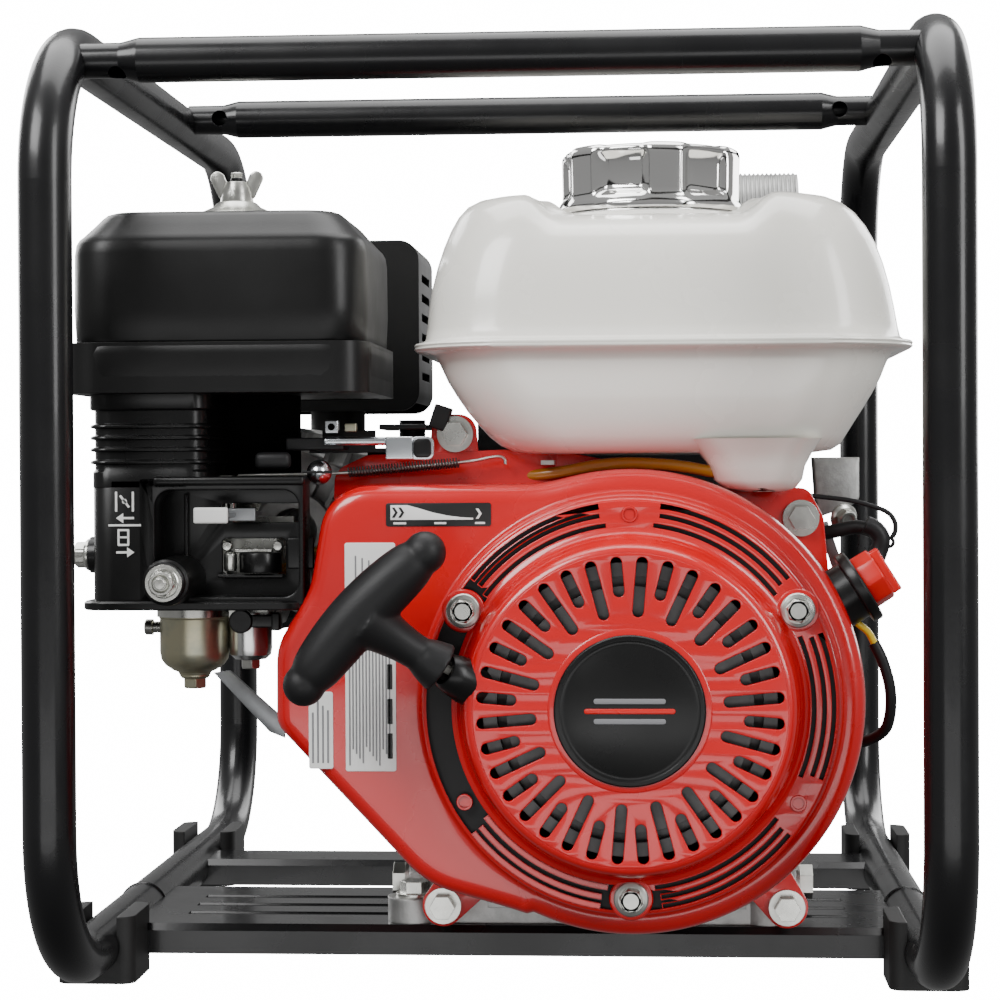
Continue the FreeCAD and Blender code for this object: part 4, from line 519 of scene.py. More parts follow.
lobe_face = -172.0
rim_rings = [
    upright(edge_line, -121.0), upright(edge_line, -164.0), upright(inward(edge_line, 0.6), -167.4),
    upright(inward(edge_line, 2.2), -170.2), upright(inward(edge_line, 4.8), -171.6),
    upright(inward(edge_line, 7.5), lobe_face)]
inner_line = inward(edge_line, 7.5)
for share in (0.25, 0.5, 0.75, 1.0):
    rim_rings.append(upright(mixed(inner_line, 92.6, share), lobe_face))
for radius, y in (
        (91.8, -172.3), (91.0, -173.4), (90.4, -175.0), (89.6, -176.2), (88.6, -176.6), (87.4, -176.6),
        (87.0, -176.0), (87.0, -172.0)):
    rim_rings.append(upright(mixed(inner_line, radius, 1.0), y))
shroud = skin("shroud", rim_rings, *RED, sharp=60.0, thick=1.6)
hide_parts("fan_cover")
for k, (x, z) in enumerate(((-30.8, 31.7), (124.0, 31.8), (130.9, 206.6), (-24.2, 245.1))):
    away = Vector((x - CRANK_X, z - CRANK_Z)).normalized()
    square = Vector((-away.y, away.x))
    outline = [
        tuple(Vector((x, z)) + away * (9.5 * math.cos(t)) + square * (9.5 * math.sin(t)))
        for t in np.linspace(-math.pi / 2, math.pi / 2, 16)]
    outline += [
        tuple(Vector((x, z)) + square * 12 - away * 24), tuple(Vector((x, z)) - square * 12 - away * 24)]
    hole = circle(3.4, x, z, 32)
    if k == 2:
        outline = filleted([(84, 222, 0), (134, 220, 6), (141, 207, 8), (144, 172, 4), (118, 168, 0)])
    if k == 3:
        outline = filleted([(x - 10, z + 9, 8), (x + 9, z + 9, 8), (x + 12, 218, 0), (x - 14, 218, 0)])
    plate(f"shroud_lug_{k}", [outline, hole], (0, -123.6, 0), *FRONT, 2.2, *RED)

crest = filleted(
    [
        (-80, 206, 0), (-79, 229, 8), (-64, 236, 10), (0, 238, 20), (30, 236, 10), (64, 229, 10),
        (96, 218, 6), (96, 205, 0)])
plate("shroud_crest", [crest], (0, -123.8, 0), *FRONT, 2.0, *RED)

# ------------------------------------------------------------------ recoil starter
front_loops = [circle(66.2)]
for k in range(36):
    front_loops.append(slot_loop(39.2 if k % 2 == 0 else 47.6, 64.4, 4.7, 5 + 10 * k))
plate("starter_grille", front_loops, (CRANK_X, -205.2, CRANK_Z), *FRONT, 2.0, *RED, bevel=0.5)
housing = turned(
    "starter_drum",
    [
        (66.0, -205.0), (67.4, -204.7), (68.6, -203.7), (69.6, -202.0), (72.4, -190.5), (73.2, -188.6),
        (74.6, -187.2), (76.2, -186.6), (76.2, -184.8), (73.0, -185.4), (71.2, -188.6), (67.6, -201.8),
        (66.0, -203.0), (66.0, -205.0)],
    *CRANK, *RED, steps=144, sharp=50.0)
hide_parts("recoil_housing")
turned(
    "starter_brim_edge",
    [
        (87.0, -186.6), (88.0, -186.3), (88.8, -185.4), (89.0, -184.0), (89.0, -177.0), (87.4, -177.0),
        (87.4, -184.4), (87.0, -184.8), (87.0, -186.6)],
    *CRANK, *RED, steps=144, sharp=50.0)
turned(
    "starter_baffle", [(72.0, -183.4), (88.2, -183.4), (88.2, -182.4), (72.0, -182.4), (72.0, -183.4)],
    *CRANK, *MATTE, steps=96)
brim_loops = [circle(87.6, steps=144), circle(75.6, steps=144)]
for sector in (-30, 30, 90, 210, 270):
    for radius in (77.6, 82.0, 86.0):
        margin = 9.0 if radius > 80 else 7.5
        brim_loops.append(arc_loop(radius, 1.8, sector + margin, sector + 60 - margin))
for k in range(3):
    brim_loops.append(
        circle(
            2.6, 81.7 * math.cos(math.radians(90 + 120 * k)), 81.7 * math.sin(math.radians(90 + 120 * k)),
            24))
plate("starter_brim", brim_loops, (CRANK_X, -186.6, CRANK_Z), *FRONT, 1.8, *RED, bevel=0.35)
for k, degrees in enumerate((30, 90, 150, 210, 270, 330)):
    x = CRANK_X + 81.7 * math.cos(math.radians(degrees))
    z = CRANK_Z + 81.7 * math.sin(math.radians(degrees))
    if k % 2 == 0:
        turned(
            f"starter_pad_{k}", [(9.4, 1.0), (8.8, 0.3), (7.6, 0.0)], (x, -187.2, z), (0, 1, 0), *RED,
            steps=40)
        hexagon(f"starter_bolt_{k}", (x, -187.3, z), (0, -1, 0), 9.0, 6.2, *ZINC, washer=7.4)
    else:
        turned(
            f"starter_hole_{k}", [(3.6, 0.0), (3.3, -0.7), (2.5, -0.7), (2.5, 1.0)], (x, -186.6, z),
            (0, 1, 0), *RED, steps=32)
turned(
    "starter_post_ring",
    [(30.5, -205.6), (33.6, -205.6), (34.4, -205.2), (34.4, -203.2), (30.5, -203.2), (30.5, -205.6)],
    *CRANK, *RED, steps=96)
disc = turned(
    "starter_disc",
    [
        (31.8, -205.3), (31.8, -206.3), (31.2, -206.9), (29.6, -207.1), (29.0, -206.8), (27.6, -206.8),
        (27.0, -207.1), (0.0, -207.2)],
    *CRANK, *BLACK, steps=96)
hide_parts("starter_centre_disc")
for k, (half, z) in enumerate(((15.0, 4.2), (19.0, 0.0), (15.0, -4.2))):
    look = "red_plastic" if k == 1 else "label_grey"
    plate(
        f"disc_bar_{k}", [box_loop(-half, z - 1.1, half, z + 1.1, 1.0, 6)], (CRANK_X, -207.5, CRANK_Z),
        *FRONT, 0.5, look, "chassis", "black_plastic", bevel=0.1)

# grip, eyelet and rope
grip_a, grip_b = Vector((-29.6, -214, 194.6)), Vector((-80.4, -214, 139.6))
stem_end, rope_in = Vector((-24.0, -205, 146.0)), Vector((-9.5, -193.5, 137.0))
middle = (grip_a + grip_b) / 2
share = np.linspace(0, 1, 40)
bow = [
    grip_a.lerp(grip_b, float(t)) + Vector((-1.6, 0.6, 1.5)) * math.sin(math.pi * t) * 1.2 for t in share]
swell = [9.9 + 2.2 * math.sin(math.pi * t) - 3.2 * abs(2 * t - 1) ** 9 for t in share]
bar = wire("grip_bar", [tuple(p) for p in bow], swell, "matte_black", None, None, around=32)
ends = [
    turned(
        f"grip_end_{k}", [(9.0 * math.cos(t), 9.0 * math.sin(t)) for t in np.linspace(-1.5, 1.5, 16)],
        tuple(p), (0, 0, 1), "matte_black", None, None, steps=32) for k,
    p in enumerate((grip_a, grip_b))]
stem_line = [middle.lerp(stem_end, float(t)) for t in share]
stem_size = [
    12.5 - 5.0 * math.sin(min(1.0, t / 0.72) * math.pi / 2) + 3.6 * max(0.0, (t - 0.72) / 0.28) ** 0.7
    for t in share]
stem = wire("grip_stem", [tuple(p) for p in stem_line], stem_size, "matte_black", None, None, around=32)
grip = blended(
    "starter_grip", [bar, *ends, stem], "matte_black", "recoil_grip", voxel=0.75,
    passes=8)
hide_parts("recoil_grip")
pull = (stem_end - rope_in).normalized()
turned(
    "rope_eyelet",
    [
        (3.4, -6.0), (9.6, -6.0), (9.8, 0.0), (8.8, 7.0), (7.8, 11.0), (6.4, 12.4), (4.2, 12.0),
        (3.4, 10.0), (3.4, -6.0)],
    tuple(rope_in + pull * 6.0), tuple(pull), *BLACK, steps=48)
rope_points = [tuple(rope_in.lerp(middle, float(t))) for t in np.linspace(0, 1, 90)]
rope = wire("starter_rope", rope_points, 2.2, "rope", None, "rope", around=12)
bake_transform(rope)
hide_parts("recoil_rope")

# ------------------------------------------------------------------ fuel tank
TANK = 240


def ease(value):
    value = min(1.0, max(0.0, value))
    return value * value * (3 - 2 * value)


def dipped(x, y, z):
    """The front shoulder is drawn down before the cap, so that the filler's dish opens forwards."""
    across = 1 - ease((abs(x - CAP_X) - 40.0) / 16.0)
    forward = ease((CAP_Y - 22.0 - y) / 22.0)
    high = ease((z - (SEAM + 44.0)) / 22.0)
    return z - 9.4 * across * forward * high


def tank_ring(left, right, front, back, radius, z):
    ring = seen_from(box_loop(left, front, right, back, radius, 14), (CAP_X, CAP_Y), TANK)
    return [(x, y, dipped(x, y, z)) for x, y in ring]


SEAM = 283.6
upper = []
for left, right, front, back, radius, z in (
        (-41.5, 179.7, -173.5, 17.5, 44, SEAM - 0.2), (-41.9, 180.1, -173.9, 17.9, 44, SEAM + 0.6),
        (-41.2, 179.4, -173.2, 17.2, 44, SEAM + 1.5), (-38.4, 176.4, -169.8, 13.8, 41, SEAM + 2.0),
        (-36.8, 174.6, -168.0, 12.0, 40, SEAM + 3.4), (-36.2, 173.6, -167.0, 11.0, 40, SEAM + 8),
        (-35.4, 172.2, -165.8, 9.8, 39, SEAM + 16), (-34.0, 170.2, -164.4, 8.4, 38, SEAM + 26),
        (-31.6, 167.6, -162.6, 6.6, 38, SEAM + 36), (-28.8, 164.4, -160.2, 4.2, 37, SEAM + 45),
        (-25.6, 160.2, -157.2, 1.2, 36, SEAM + 53), (-22.4, 155.6, -153.6, -2.4, 34, SEAM + 59),
        (-18.6, 150.4, -149.0, -7.0, 32, SEAM + 63.6), (-14.0, 144.6, -143.6, -12.4, 30, SEAM + 66.4),
        (-8.6, 138.0, -137.0, -19.0, 26, SEAM + 67.8), (-2.0, 131.5, -130.5, -27.0, 24, SEAM + 68.4)):
    upper.append(tank_ring(left, right, front, back, radius, z))


def cap_ring(radius, z, count=TANK):
    return [
        (CAP_X + radius * math.cos(TAU * i / count), CAP_Y + radius * math.sin(TAU * i / count), z)
        for i in range(count)]


for radius, z in (
        (52.6, SEAM + 68.4), (51.4, SEAM + 67.8), (50.2, SEAM + 66.4), (46.4, SEAM + 61.6),
        (45.0, SEAM + 60.4), (43.0, SEAM + 60.0), (34.0, SEAM + 60.0), (32.6, SEAM + 60.6),
        (32.0, SEAM + 64.0)):
    upper.append(
        [(x, y, min(z, dipped(x, y, z)) if radius > 50 else z) for x, y, z in cap_ring(radius, z)])
tank_top = skin("tank_upper", upper, *WHITE, sharp=70.0)
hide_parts("fuel_tank_upper")
lower = []
for left, right, front, back, radius, z in (
        (-41.5, 179.7, -173.5, 17.5, 44, SEAM - 0.2), (-41.8, 180.0, -173.8, 17.8, 44, SEAM - 1.0),
        (-40.8, 179.0, -172.8, 16.8, 43, SEAM - 1.9), (-36.4, 174.6, -168.6, 12.6, 40, SEAM - 2.4),
        (-32.4, 171.0, -165.6, 9.6, 38, SEAM - 3.6), (-30.2, 168.6, -165.0, 9.0, 37, SEAM - 8.0),
        (-27.0, 165.8, -163.8, 7.8, 36, SEAM - 15.0), (-22.8, 162.0, -162.6, 6.6, 36, SEAM - 22.0),
        (-18.0, 157.8, -160.8, 4.8, 35, SEAM - 29.0), (-13.0, 154.0, -158.4, 2.4, 34, SEAM - 35.0),
        (-8.6, 151.0, -155.6, -0.4, 33, SEAM - 40.0), (-3.6, 148.6, -152.2, -3.8, 31, SEAM - 44.0),
        (2.0, 144.6, -147.0, -9.0, 28, SEAM - 46.6), (9.0, 137.0, -141.0, -15.0, 24, SEAM - 47.6),
        (20.0, 112.0, -125.0, -32.0, 20, SEAM - 47.9)):
    lower.append(tank_ring(left, right, front, back, radius, z))
tank_low = skin("tank_lower", lower, *WHITE, sharp=70.0, high=True)
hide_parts("fuel_tank_lower")
sump = []
for grow, z in ((7.0, 242.0), (3.0, 236.0), (0.0, 230.0), (-1.2, 224.0), (-4.0, 220.2), (-9.0, 218.6)):
    sump.append(
        [(x, y, z) for x, y in box_loop(90 - grow * 1.6, -152 - grow, 132 + grow, -106 + grow, 14, 8)])
skin("tank_sump", sump, *WHITE, sharp=70.0, high=True)
turned(
    "tank_outlet", [(4.2, 0.0), (4.2, 9.0), (5.0, 10.0), (5.0, 11.5), (3.8, 12.5), (2.4, 12.6)],
    (112, -112, 228), (0, -1, 0), *ZINC, steps=32)
turned(
    "filler_rim",
    [
        (32.6, 0.0), (42.4, 0.2), (43.6, 0.8), (43.8, 1.8), (43.0, 2.4), (40.0, 2.2), (36.0, 2.6),
        (33.8, 3.8), (32.6, 3.8), (32.6, 0.0)],
    (CAP_X, CAP_Y, SEAM + 60.4), (0, 0, 1), "chrome", "chassis", "chrome", steps=120)

# cap: six broad lobes with finger hollows, a rolled lower edge and a dished top
CAP_STEPS = 288
cap_rings = []
for size, depth, z in (
        (40.0, 0.0, 347.2), (41.6, 0.0, 346.4), (42.8, 0.0, 346.8), (43.2, 0.0, 348.0),
        (43.0, 0.02, 350.0), (42.4, 0.05, 351.6), (41.9, 0.15, 353.0), (41.7, 0.55, 354.4),
        (41.7, 0.9, 355.8), (41.7, 1.0, 358.0), (41.9, 1.0, 368.0), (42.0, 0.9, 370.8),
        (42.0, 0.62, 372.6), (41.7, 0.42, 374.0), (40.8, 0.34, 375.2), (39.4, 0.3, 376.0),
        (37.0, 0.25, 376.4), (34.6, 0.15, 376.2), (31.0, 0.0, 374.8), (27.0, 0.0, 374.3),
        (12.0, 0.0, 374.9), (0.01, 0.0, 375.0)):
    ring = []
    for i in range(CAP_STEPS):
        a = TAU * i / CAP_STEPS
        wave = 0.5 - 0.5 * math.cos(6 * (a - math.radians(41)))
        hollow = ease((wave - 0.22) / 0.4)
        r = size - 4.4 * depth * hollow
        ring.append(
            (
                CAP_X + r * math.cos(a), CAP_Y + r * math.sin(a),
                z + (0.5 if size > 34 and z > 370 else 0.0) * (1 - hollow)))
    cap_rings.append(ring)
cap = skin("tank_cap", cap_rings, "chrome", "fuel_cap", "chrome", low=True, sharp=50.0)
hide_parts("fuel_cap")

# ------------------------------------------------------------------ air cleaner
def cleaner_ring(inset, z, radius):
    ring = seen_from(
        box_loop(-189 + inset, -176 + inset, -60 - inset, -60 - inset, radius, 12), (-124, -118), 200)
    return [(x, y, z) for x, y in ring]


cover_rings = [
    cleaner_ring(0.6, 285.2, 19), cleaner_ring(0.2, 286.0, 19), cleaner_ring(-0.4, 300.0, 19),
    cleaner_ring(-0.2, 324.0, 19), cleaner_ring(0.4, 328.4, 19), cleaner_ring(1.6, 330.6, 18),
    cleaner_ring(3.4, 332.4, 18), cleaner_ring(7.2, 336.6, 17), cleaner_ring(10.6, 340.6, 16),
    cleaner_ring(12.4, 342.2, 15), cleaner_ring(14.6, 343.0, 14), cleaner_ring(19.0, 343.3, 14),
    cleaner_ring(30.0, 343.4, 12), cleaner_ring(32.0, 342.6, 12), cleaner_ring(34.0, 342.3, 12)]
cover = skin(
    "cleaner_cover", cover_rings, "black_plastic", "air_cleaner_cover", "black_plastic", high=True,
    sharp=42.0)
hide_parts("air_cleaner_cover")
lip_rings = [
    cleaner_ring(3.5, 262.6, 15), cleaner_ring(0.4, 262.8, 16), cleaner_ring(-1.0, 263.6, 17),
    cleaner_ring(-1.8, 266.0, 17), cleaner_ring(-2.4, 280.0, 18), cleaner_ring(-2.2, 283.0, 18),
    cleaner_ring(-1.4, 284.4, 17), cleaner_ring(0.4, 284.9, 17), cleaner_ring(3.0, 284.9, 15),
    cleaner_ring(3.2, 270.0, 15)]
skin("cleaner_lip", lip_rings, "black_plastic", "chassis", "black_plastic", sharp=42.0)
NUT_X, NUT_Y = -123.6, -120.0
turned(
    "cover_washer",
    [
        (26.0, 343.4), (26.4, 344.0), (25.8, 344.8), (22.0, 345.4), (16.0, 346.6), (11.0, 348.8),
        (9.4, 350.4), (8.6, 351.0), (3.0, 351.2)],
    (NUT_X, NUT_Y, 0), (0, 0, 1), *NUT, steps=96)
nut = turned(
    "wing_nut_hub",
    [(3.4, 350.6), (7.4, 350.6), (7.6, 351.4), (6.6, 357.0), (5.2, 360.2), (3.4, 360.6), (3.4, 350.6)],
    (NUT_X, NUT_Y, 0), (0, 0, 1), *NUT, steps=48)
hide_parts("wing_nut")
for side in (-1, 1):
    blade = filleted(
        [
            (4.0, 351.6, 0), (8.0, 353.0, 2.5), (12.2, 362.0, 2.6), (10.6, 367.2, 3.0), (6.0, 364.0, 2.2),
            (3.6, 358.0, 0)] if side > 0 else [(-4.0, 351.6, 0), (-3.6, 358.0, 0), (-6.0, 364.0, 2.2), (
                -10.6, 367.2, 3.0), (-12.2, 362.0, 2.6), (-8.0, 353.0, 2.5)],
        6)
    plate(
        f"nut_wing_{side + 1}", [blade], (NUT_X, NUT_Y - 1.4, 0), (0, -1, 0.0), (0, 0, 1), 2.8, *NUT,
        bevel=0.7)
stud_line = [(NUT_X, NUT_Y, z) for z in np.arange(343.0, 365.0, 0.25)]
stud_size = [2.6 + 0.25 * math.sin(z[2] * TAU / 1.0) for z in stud_line]
wire("cover_stud", stud_line, stud_size, *ZINC, around=24)

# ------------------------------------------------------------------ ports: helical threads
def thread(name, at, axis, length, look, slot):
    """A 2-inch male thread, 11 turns to the inch, over the plain stub."""
    side, up, along = frame_of(axis)
    pitch = 25.4 / 11
    rings = []
    for h in np.arange(0.0, length + 0.01, pitch / 8):
        ring = []
        fade = min(1.0, h / 3.0, (length - h) / 1.5 + 0.1)
        for i in range(96):
            a = TAU * i / 96
            phase = ((h / pitch + i / 96) % 1.0)
            crest = max(0.0, 1 - abs(2 * phase - 1) * 1.35)
            r = 29.82 + 1.05 * crest * fade
            ring.append(
                tuple(Vector(at) + along * float(h) + (side * math.cos(a) + up * math.sin(a)) * r))
        rings.append(ring)
    return skin(name, rings, look, "chassis", slot, sharp=80.0)


thread("discharge_thread", (101.5, 92.0, 356.0), (1, 0, 0), 40.0, "cast_aluminium", "cast_aluminium")
thread("suction_thread", (55.0, 198.5, 245.0), (0, 1, 0), 26.5, "pump_paint", "pump_paint")

# ------------------------------------------------------------------ labels, with plain lines for print
def label(name, x0, z0, x1, z1, y, look="label_white", radius=1.0):
    plate(
        name, [box_loop(x0, z0, x1, z1, radius, 5)], (0, y, 0), *FRONT, 0.25, look, "chassis",
        "red_paint", bevel=0.05)


label("strip_back", -50.4, 204.6, -4.8, 214.7, -172.35, "label_black")
wedge = [
    (-48.4, 207.4), (-12.6, 207.4), (-12.6, 208.2), (-18.0, 208.5), (-24.0, 209.3), (-30.0, 210.6),
    (-36.0, 212.4), (-41.0, 213.8), (-48.4, 213.8)]
plate(
    "strip_wedge", [wedge], (0, -172.6, 0), *FRONT, 0.2, "label_white", "chassis", "red_paint",
    bevel=0.03)
for k, (x, z, look) in enumerate(
        ((-46.6, 210.6, "label_black"), (-43.8, 210.6, "label_black"), (-10.2, 210.0, "label_white"))):
    chevron = [
        (x - 1.2, z - 2.2), (x, z - 2.2), (x + 1.4, z), (x, z + 2.2), (x - 1.2, z + 2.2), (x + 0.2, z)]
    plate(
        f"strip_arrow_{k}", [chevron], (0, -172.8, 0), *FRONT, 0.2, look, "chassis", "red_paint",
        bevel=0.02)
for k, (x, wide) in enumerate(((-47.2, 5.6), (-29.4, 5.2), (-11.8, 4.4))):
    label(f"strip_mark_{k}", x, 205.5, x + wide, 206.4, -172.6, radius=0.2)
label("note_large", -68.5, 98.5, -46.5, 197.6, -172.35)
label("note_small", -84.6, 99.5, -74.0, 133.0, -172.35)
for row in range(13):
    x = -67.0 + row * 1.45
    low = 101.0 + (7 * row) % 9
    label(f"note_line_{row}", x, low, x + 0.65, 170.0 + (11 * row) % 23, -172.55, "label_grey", 0.2)
for k in range(6):
    z = 104.0 + k * 15.0
    label(f"note_box_{k}", -50.2, z, -48.0, z + 11.0, -172.55, "label_black", 0.3)
for row in range(4):
    x = -83.2 + row * 2.2
    label(f"note_row_{row}", x, 102.0, x + 0.8, 124.0 + (5 * row) % 7, -172.55, "label_grey", 0.2)

# ------------------------------------------------------------------ governor spring and its link
def coil(start, end, radius, turns):
    side, up, along = frame_of(Vector(end) - Vector(start))
    length = (Vector(end) - Vector(start)).length
    points = []
    for t in np.linspace(0, 1, int(turns * 12)):
        a = TAU * turns * t
        points.append(
            tuple(
                Vector(start) + along * (length * float(t)) + (
                    side * math.cos(a) + up * math.sin(a)) * radius))
    return points


rod_line = [
    (-122, -131, 227.0), (-72, -131, 228.0), (-22, -131, 232.2), (-8, -131, 234.4), (-3.5, -131, 234.8),
    (-1.4, -131, 233.6), (-1.2, -131, 231.4)]
rod = wire("governor_link", smoothed(rod_line, 8), 0.75, "zinc_steel", "governor_rod", "dark_steel")
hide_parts("governor_rod")
wire(
    "governor_spring", coil((-72, -131, 228.0), (-22, -131, 232.2), 2.1, 38), 0.36, "dark_steel",
    "governor_rod", "dark_steel", around=6)

# ------------------------------------------------------------------ intake duct below the air cleaner
def duct_ring(grow, z):
    return [(x, y, z) for x, y in box_loop(-181.5 - grow, -168 - grow, -129.6 + grow, -101, 9, 12)]


duct_rings = [
    duct_ring(1.0, 264.0), duct_ring(1.0, 256.6), duct_ring(0.6, 256.0), duct_ring(-0.8, 255.6),
    duct_ring(-0.8, 250.6)]
for ridge in (248.4, 243.4, 238.2, 232.7):
    duct_rings += [
        duct_ring(-0.8, ridge + 1.5), duct_ring(0.7, ridge + 0.9), duct_ring(0.9, ridge + 0.2),
        duct_ring(0.7, ridge - 0.3), duct_ring(-0.8, ridge - 0.7)]
duct_rings += [duct_ring(-0.8, 229.8), duct_ring(0.0, 228.6), duct_ring(0.0, 222.0)]
duct = skin("intake_duct", duct_rings, *BLACK, sharp=40.0)
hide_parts("air_cleaner_elbow")
side_rings = []
for inset, z in ((0.0, 171.0), (0.0, 224.6), (0.8, 226.2), (2.4, 227.0)):
    outline = filleted(
        [
            (-181.5 + inset, -168 + inset, 10), (-153.4, -168 + inset, 0), (-153.4, -120, 0),
            (-181.5 + inset, -120, 6)],
        14)
    side_rings.append([(x, y, z) for x, y in outline])
skin("duct_side", side_rings, *BLACK, high=True, sharp=40.0)
plate(
    "duct_front", [box_loop(-160, 170, -87, 226.4, 2.0), box_loop(-152.6, 174.0, -89.2, 220.6, 7.0)],
    (0, -168.0, 0), *FRONT, 20.0, *BLACK, bevel=0.8)
block("duct_ledge", (-153.0, -169.8, 222.6), (-86.4, -148.0, 226.6), *BLACK, 1.6)
plate(
    "duct_floor",
    [
        box_loop(-153, 172, -87.6, 224, 1.0), box_loop(-126.5, 206.2, -91.0, 214.6, 1.0),
        box_loop(-126.0, 181.6, -97.6, 199.0, 2.0)],
    (0, -150.0, 0), *FRONT, 2.4, *BLACK, bevel=0.4)
block("duct_step", (-142.6, -152.6, 176.0), (-141.0, -150.0, 219.0), *BLACK, 0.5)
# dead-black plate in the void behind the duct: painted shade where the parts behind lie in shadow
block(
    "duct_back_shade", (-131.0, -116.0, 224.6), (-96.0, -112.0, 263.6), "painted_shade_black", "chassis",
    "black_plastic", 0.5)
flange_rings = []
for inset, z in ((0.8, 168.2), (0.0, 168.8), (0.0, 171.4), (0.8, 172.2)):
    flange_rings.append(
        [
            (x, y, z) for x,
            y in box_loop(-185.5 + inset, -171.5 + inset, -86.2 - inset, -134 - inset, 11, 12)])
skin("duct_flange", flange_rings, *BLACK, low=True, high=True, sharp=40.0)
turned(
    "duct_boss",
    [
        (11.2, 150.0), (10.6, 168.0), (10.2, 183.0), (10.0, 184.6), (8.8, 185.2), (8.6, 187.4),
        (8.0, 187.9), (0.0, 187.9)],
    (-144.5, 0, 181), (0, -1, 0), *BLACK, steps=64)
hexagon("duct_nut", (-144.5, -187.9, 181), (0, -1, 0), 10.2, 7.6, *ZINC, washer=7.4)
turned(
    "duct_stud", [(2.9, 188.0), (2.9, 197.6), (2.2, 198.2), (0.0, 198.3)], (-144.5, 0, 181), (0, -1, 0),
    *ZINC, steps=32)
turned(
    "duct_side_boss", [(8.4, 0.0), (8.0, 4.4), (7.0, 5.0), (0.0, 5.0)], (-180.5, -150, 192), (-1, 0, 0),
    *BLACK, steps=48)
hexagon("duct_side_nut", (-185.4, -150, 192), (-1, 0, 0), 10.2, 6.4, *ZINC, washer=7.0)

# plain signs beside the levers: a flap between two walls, a line, a can, and an arrow for each lever
def sign(name, loops):
    plate(
        name, loops, (0, -168.25, 0), *FRONT, 0.2, "label_white", "chassis", "black_plastic", bevel=0.03)


sign("sign_wall_left", [box_loop(-170.0, 211.4, -169.0, 220.2, 0.2, 4)])
sign("sign_wall_right", [box_loop(-162.6, 211.4, -161.6, 220.2, 0.2, 4)])
sign("sign_flap", [[(-168.2, 218.2), (-167.4, 218.8), (-163.4, 213.6), (-164.2, 213.0)]])
sign("sign_pin", [circle(1.1, -165.8, 215.9, 20)])
sign("sign_divide", [box_loop(-173.0, 205.0, -158.6, 205.9, 0.2, 4)])
sign(
    "sign_arrow_left",
    [
        [
            (-169.6, 208.6), (-166.4, 206.4), (-166.4, 208.1), (-161.6, 208.1), (-161.6, 209.1),
            (-166.4, 209.1), (-166.4, 210.8)]])
sign(
    "sign_can",
    [box_loop(-169.0, 196.4, -163.8, 203.8, 0.5, 4), box_loop(-168.1, 197.3, -164.7, 202.9, 0.3, 4)])
sign("sign_can_mark", [box_loop(-168.4, 199.8, -164.4, 200.6, 0.1, 4)])
sign(
    "sign_arrow_right",
    [
        [
            (-161.6, 193.6), (-164.8, 191.4), (-164.8, 193.1), (-169.6, 193.1), (-169.6, 194.1),
            (-164.8, 194.1), (-164.8, 195.8)]])

# ------------------------------------------------------------------ carburettor
turned(
    "bowl_top", [(16.8, 168.0), (16.8, 165.4), (15.6, 164.6)], (-144, -122, 0), (0, 0, 1),
    "cast_aluminium", "chassis", "zinc_steel", steps=64)
bowl = turned(
    "float_bowl",
    [
        (15.8, 165.0), (16.2, 164.0), (16.2, 162.6), (15.8, 162.0), (15.8, 147.0), (15.2, 143.6),
        (13.4, 141.0), (10.0, 138.6), (7.6, 137.6), (7.0, 136.4), (0.0, 136.4)],
    (-144, -122, 0), (0, 0, 1), *YELLOW, steps=96)
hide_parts("carburettor_bowls")
hexagon("bowl_bolt", (-144, -122, 136.6), (0, 0, -1), 9.6, 6.4, *YELLOW, washer=6.8)
turned(
    "bowl_drain", [(0.0, 166.8), (3.0, 166.8), (3.6, 166.2), (3.6, 163.2), (2.6, 162.8), (2.6, 159.0)],
    (0, -122, 158), (-1, 0, 0), *ZINC, steps=32)
turned(
    "fuel_cup",
    [
        (10.6, 165.0), (10.8, 163.4), (10.8, 161.0), (9.8, 160.4), (9.8, 148.4), (9.2, 145.4),
        (7.0, 143.4), (0.0, 142.8)],
    (-118.4, -121, 0), (0, 0, 1), "chrome_dull", "chassis", "zinc_steel", steps=64)
hexagon("fuel_cup_nut", (-118.4, -121, 143.0), (0, 0, -1), 8.0, 4.0, *ZINC)
plate(
    "cup_strap", [[(-147, 132.0), (-139, 133.0), (-112.5, 109.5), (-112.5, 100.5), (-120, 103.5)]],
    (0, -60, 0), *FRONT, 2.0, "grey_metal", "chassis", "dark_steel", bevel=0.4)
for k, x in enumerate((-123.0, -100.4)):
    turned(
        f"carb_screw_{k}", [(2.3, 152.0), (2.3, 155.2), (1.8, 156.0), (0.0, 156.2)], (x, 0, 195.8),
        (0, -1, 0), *ZINC, steps=28)
block("carb_bar", (-119.6, -155.6, 193.0), (-103.0, -152.0, 194.6), *ZINC, 0.5)
turned(
    "carb_pillar", [(2.5, 184.8), (2.9, 185.8), (2.9, 192.2), (2.2, 193.2), (0.0, 193.4)],
    (-121.8, -153.4, 0), (0, 0, 1), *ZINC, steps=32)
turned(
    "carb_drum", [(0.0, 184.0), (9.2, 184.0), (9.4, 184.6), (9.4, 192.0), (9.0, 192.8), (0.0, 192.8)],
    (-108.9, -150.4, 0), (0, 0, 1), *BLACK, steps=64)
block("carb_shelf", (-127.0, -156.0, 181.8), (-98.0, -149.0, 183.4), *BLACK, 0.5)

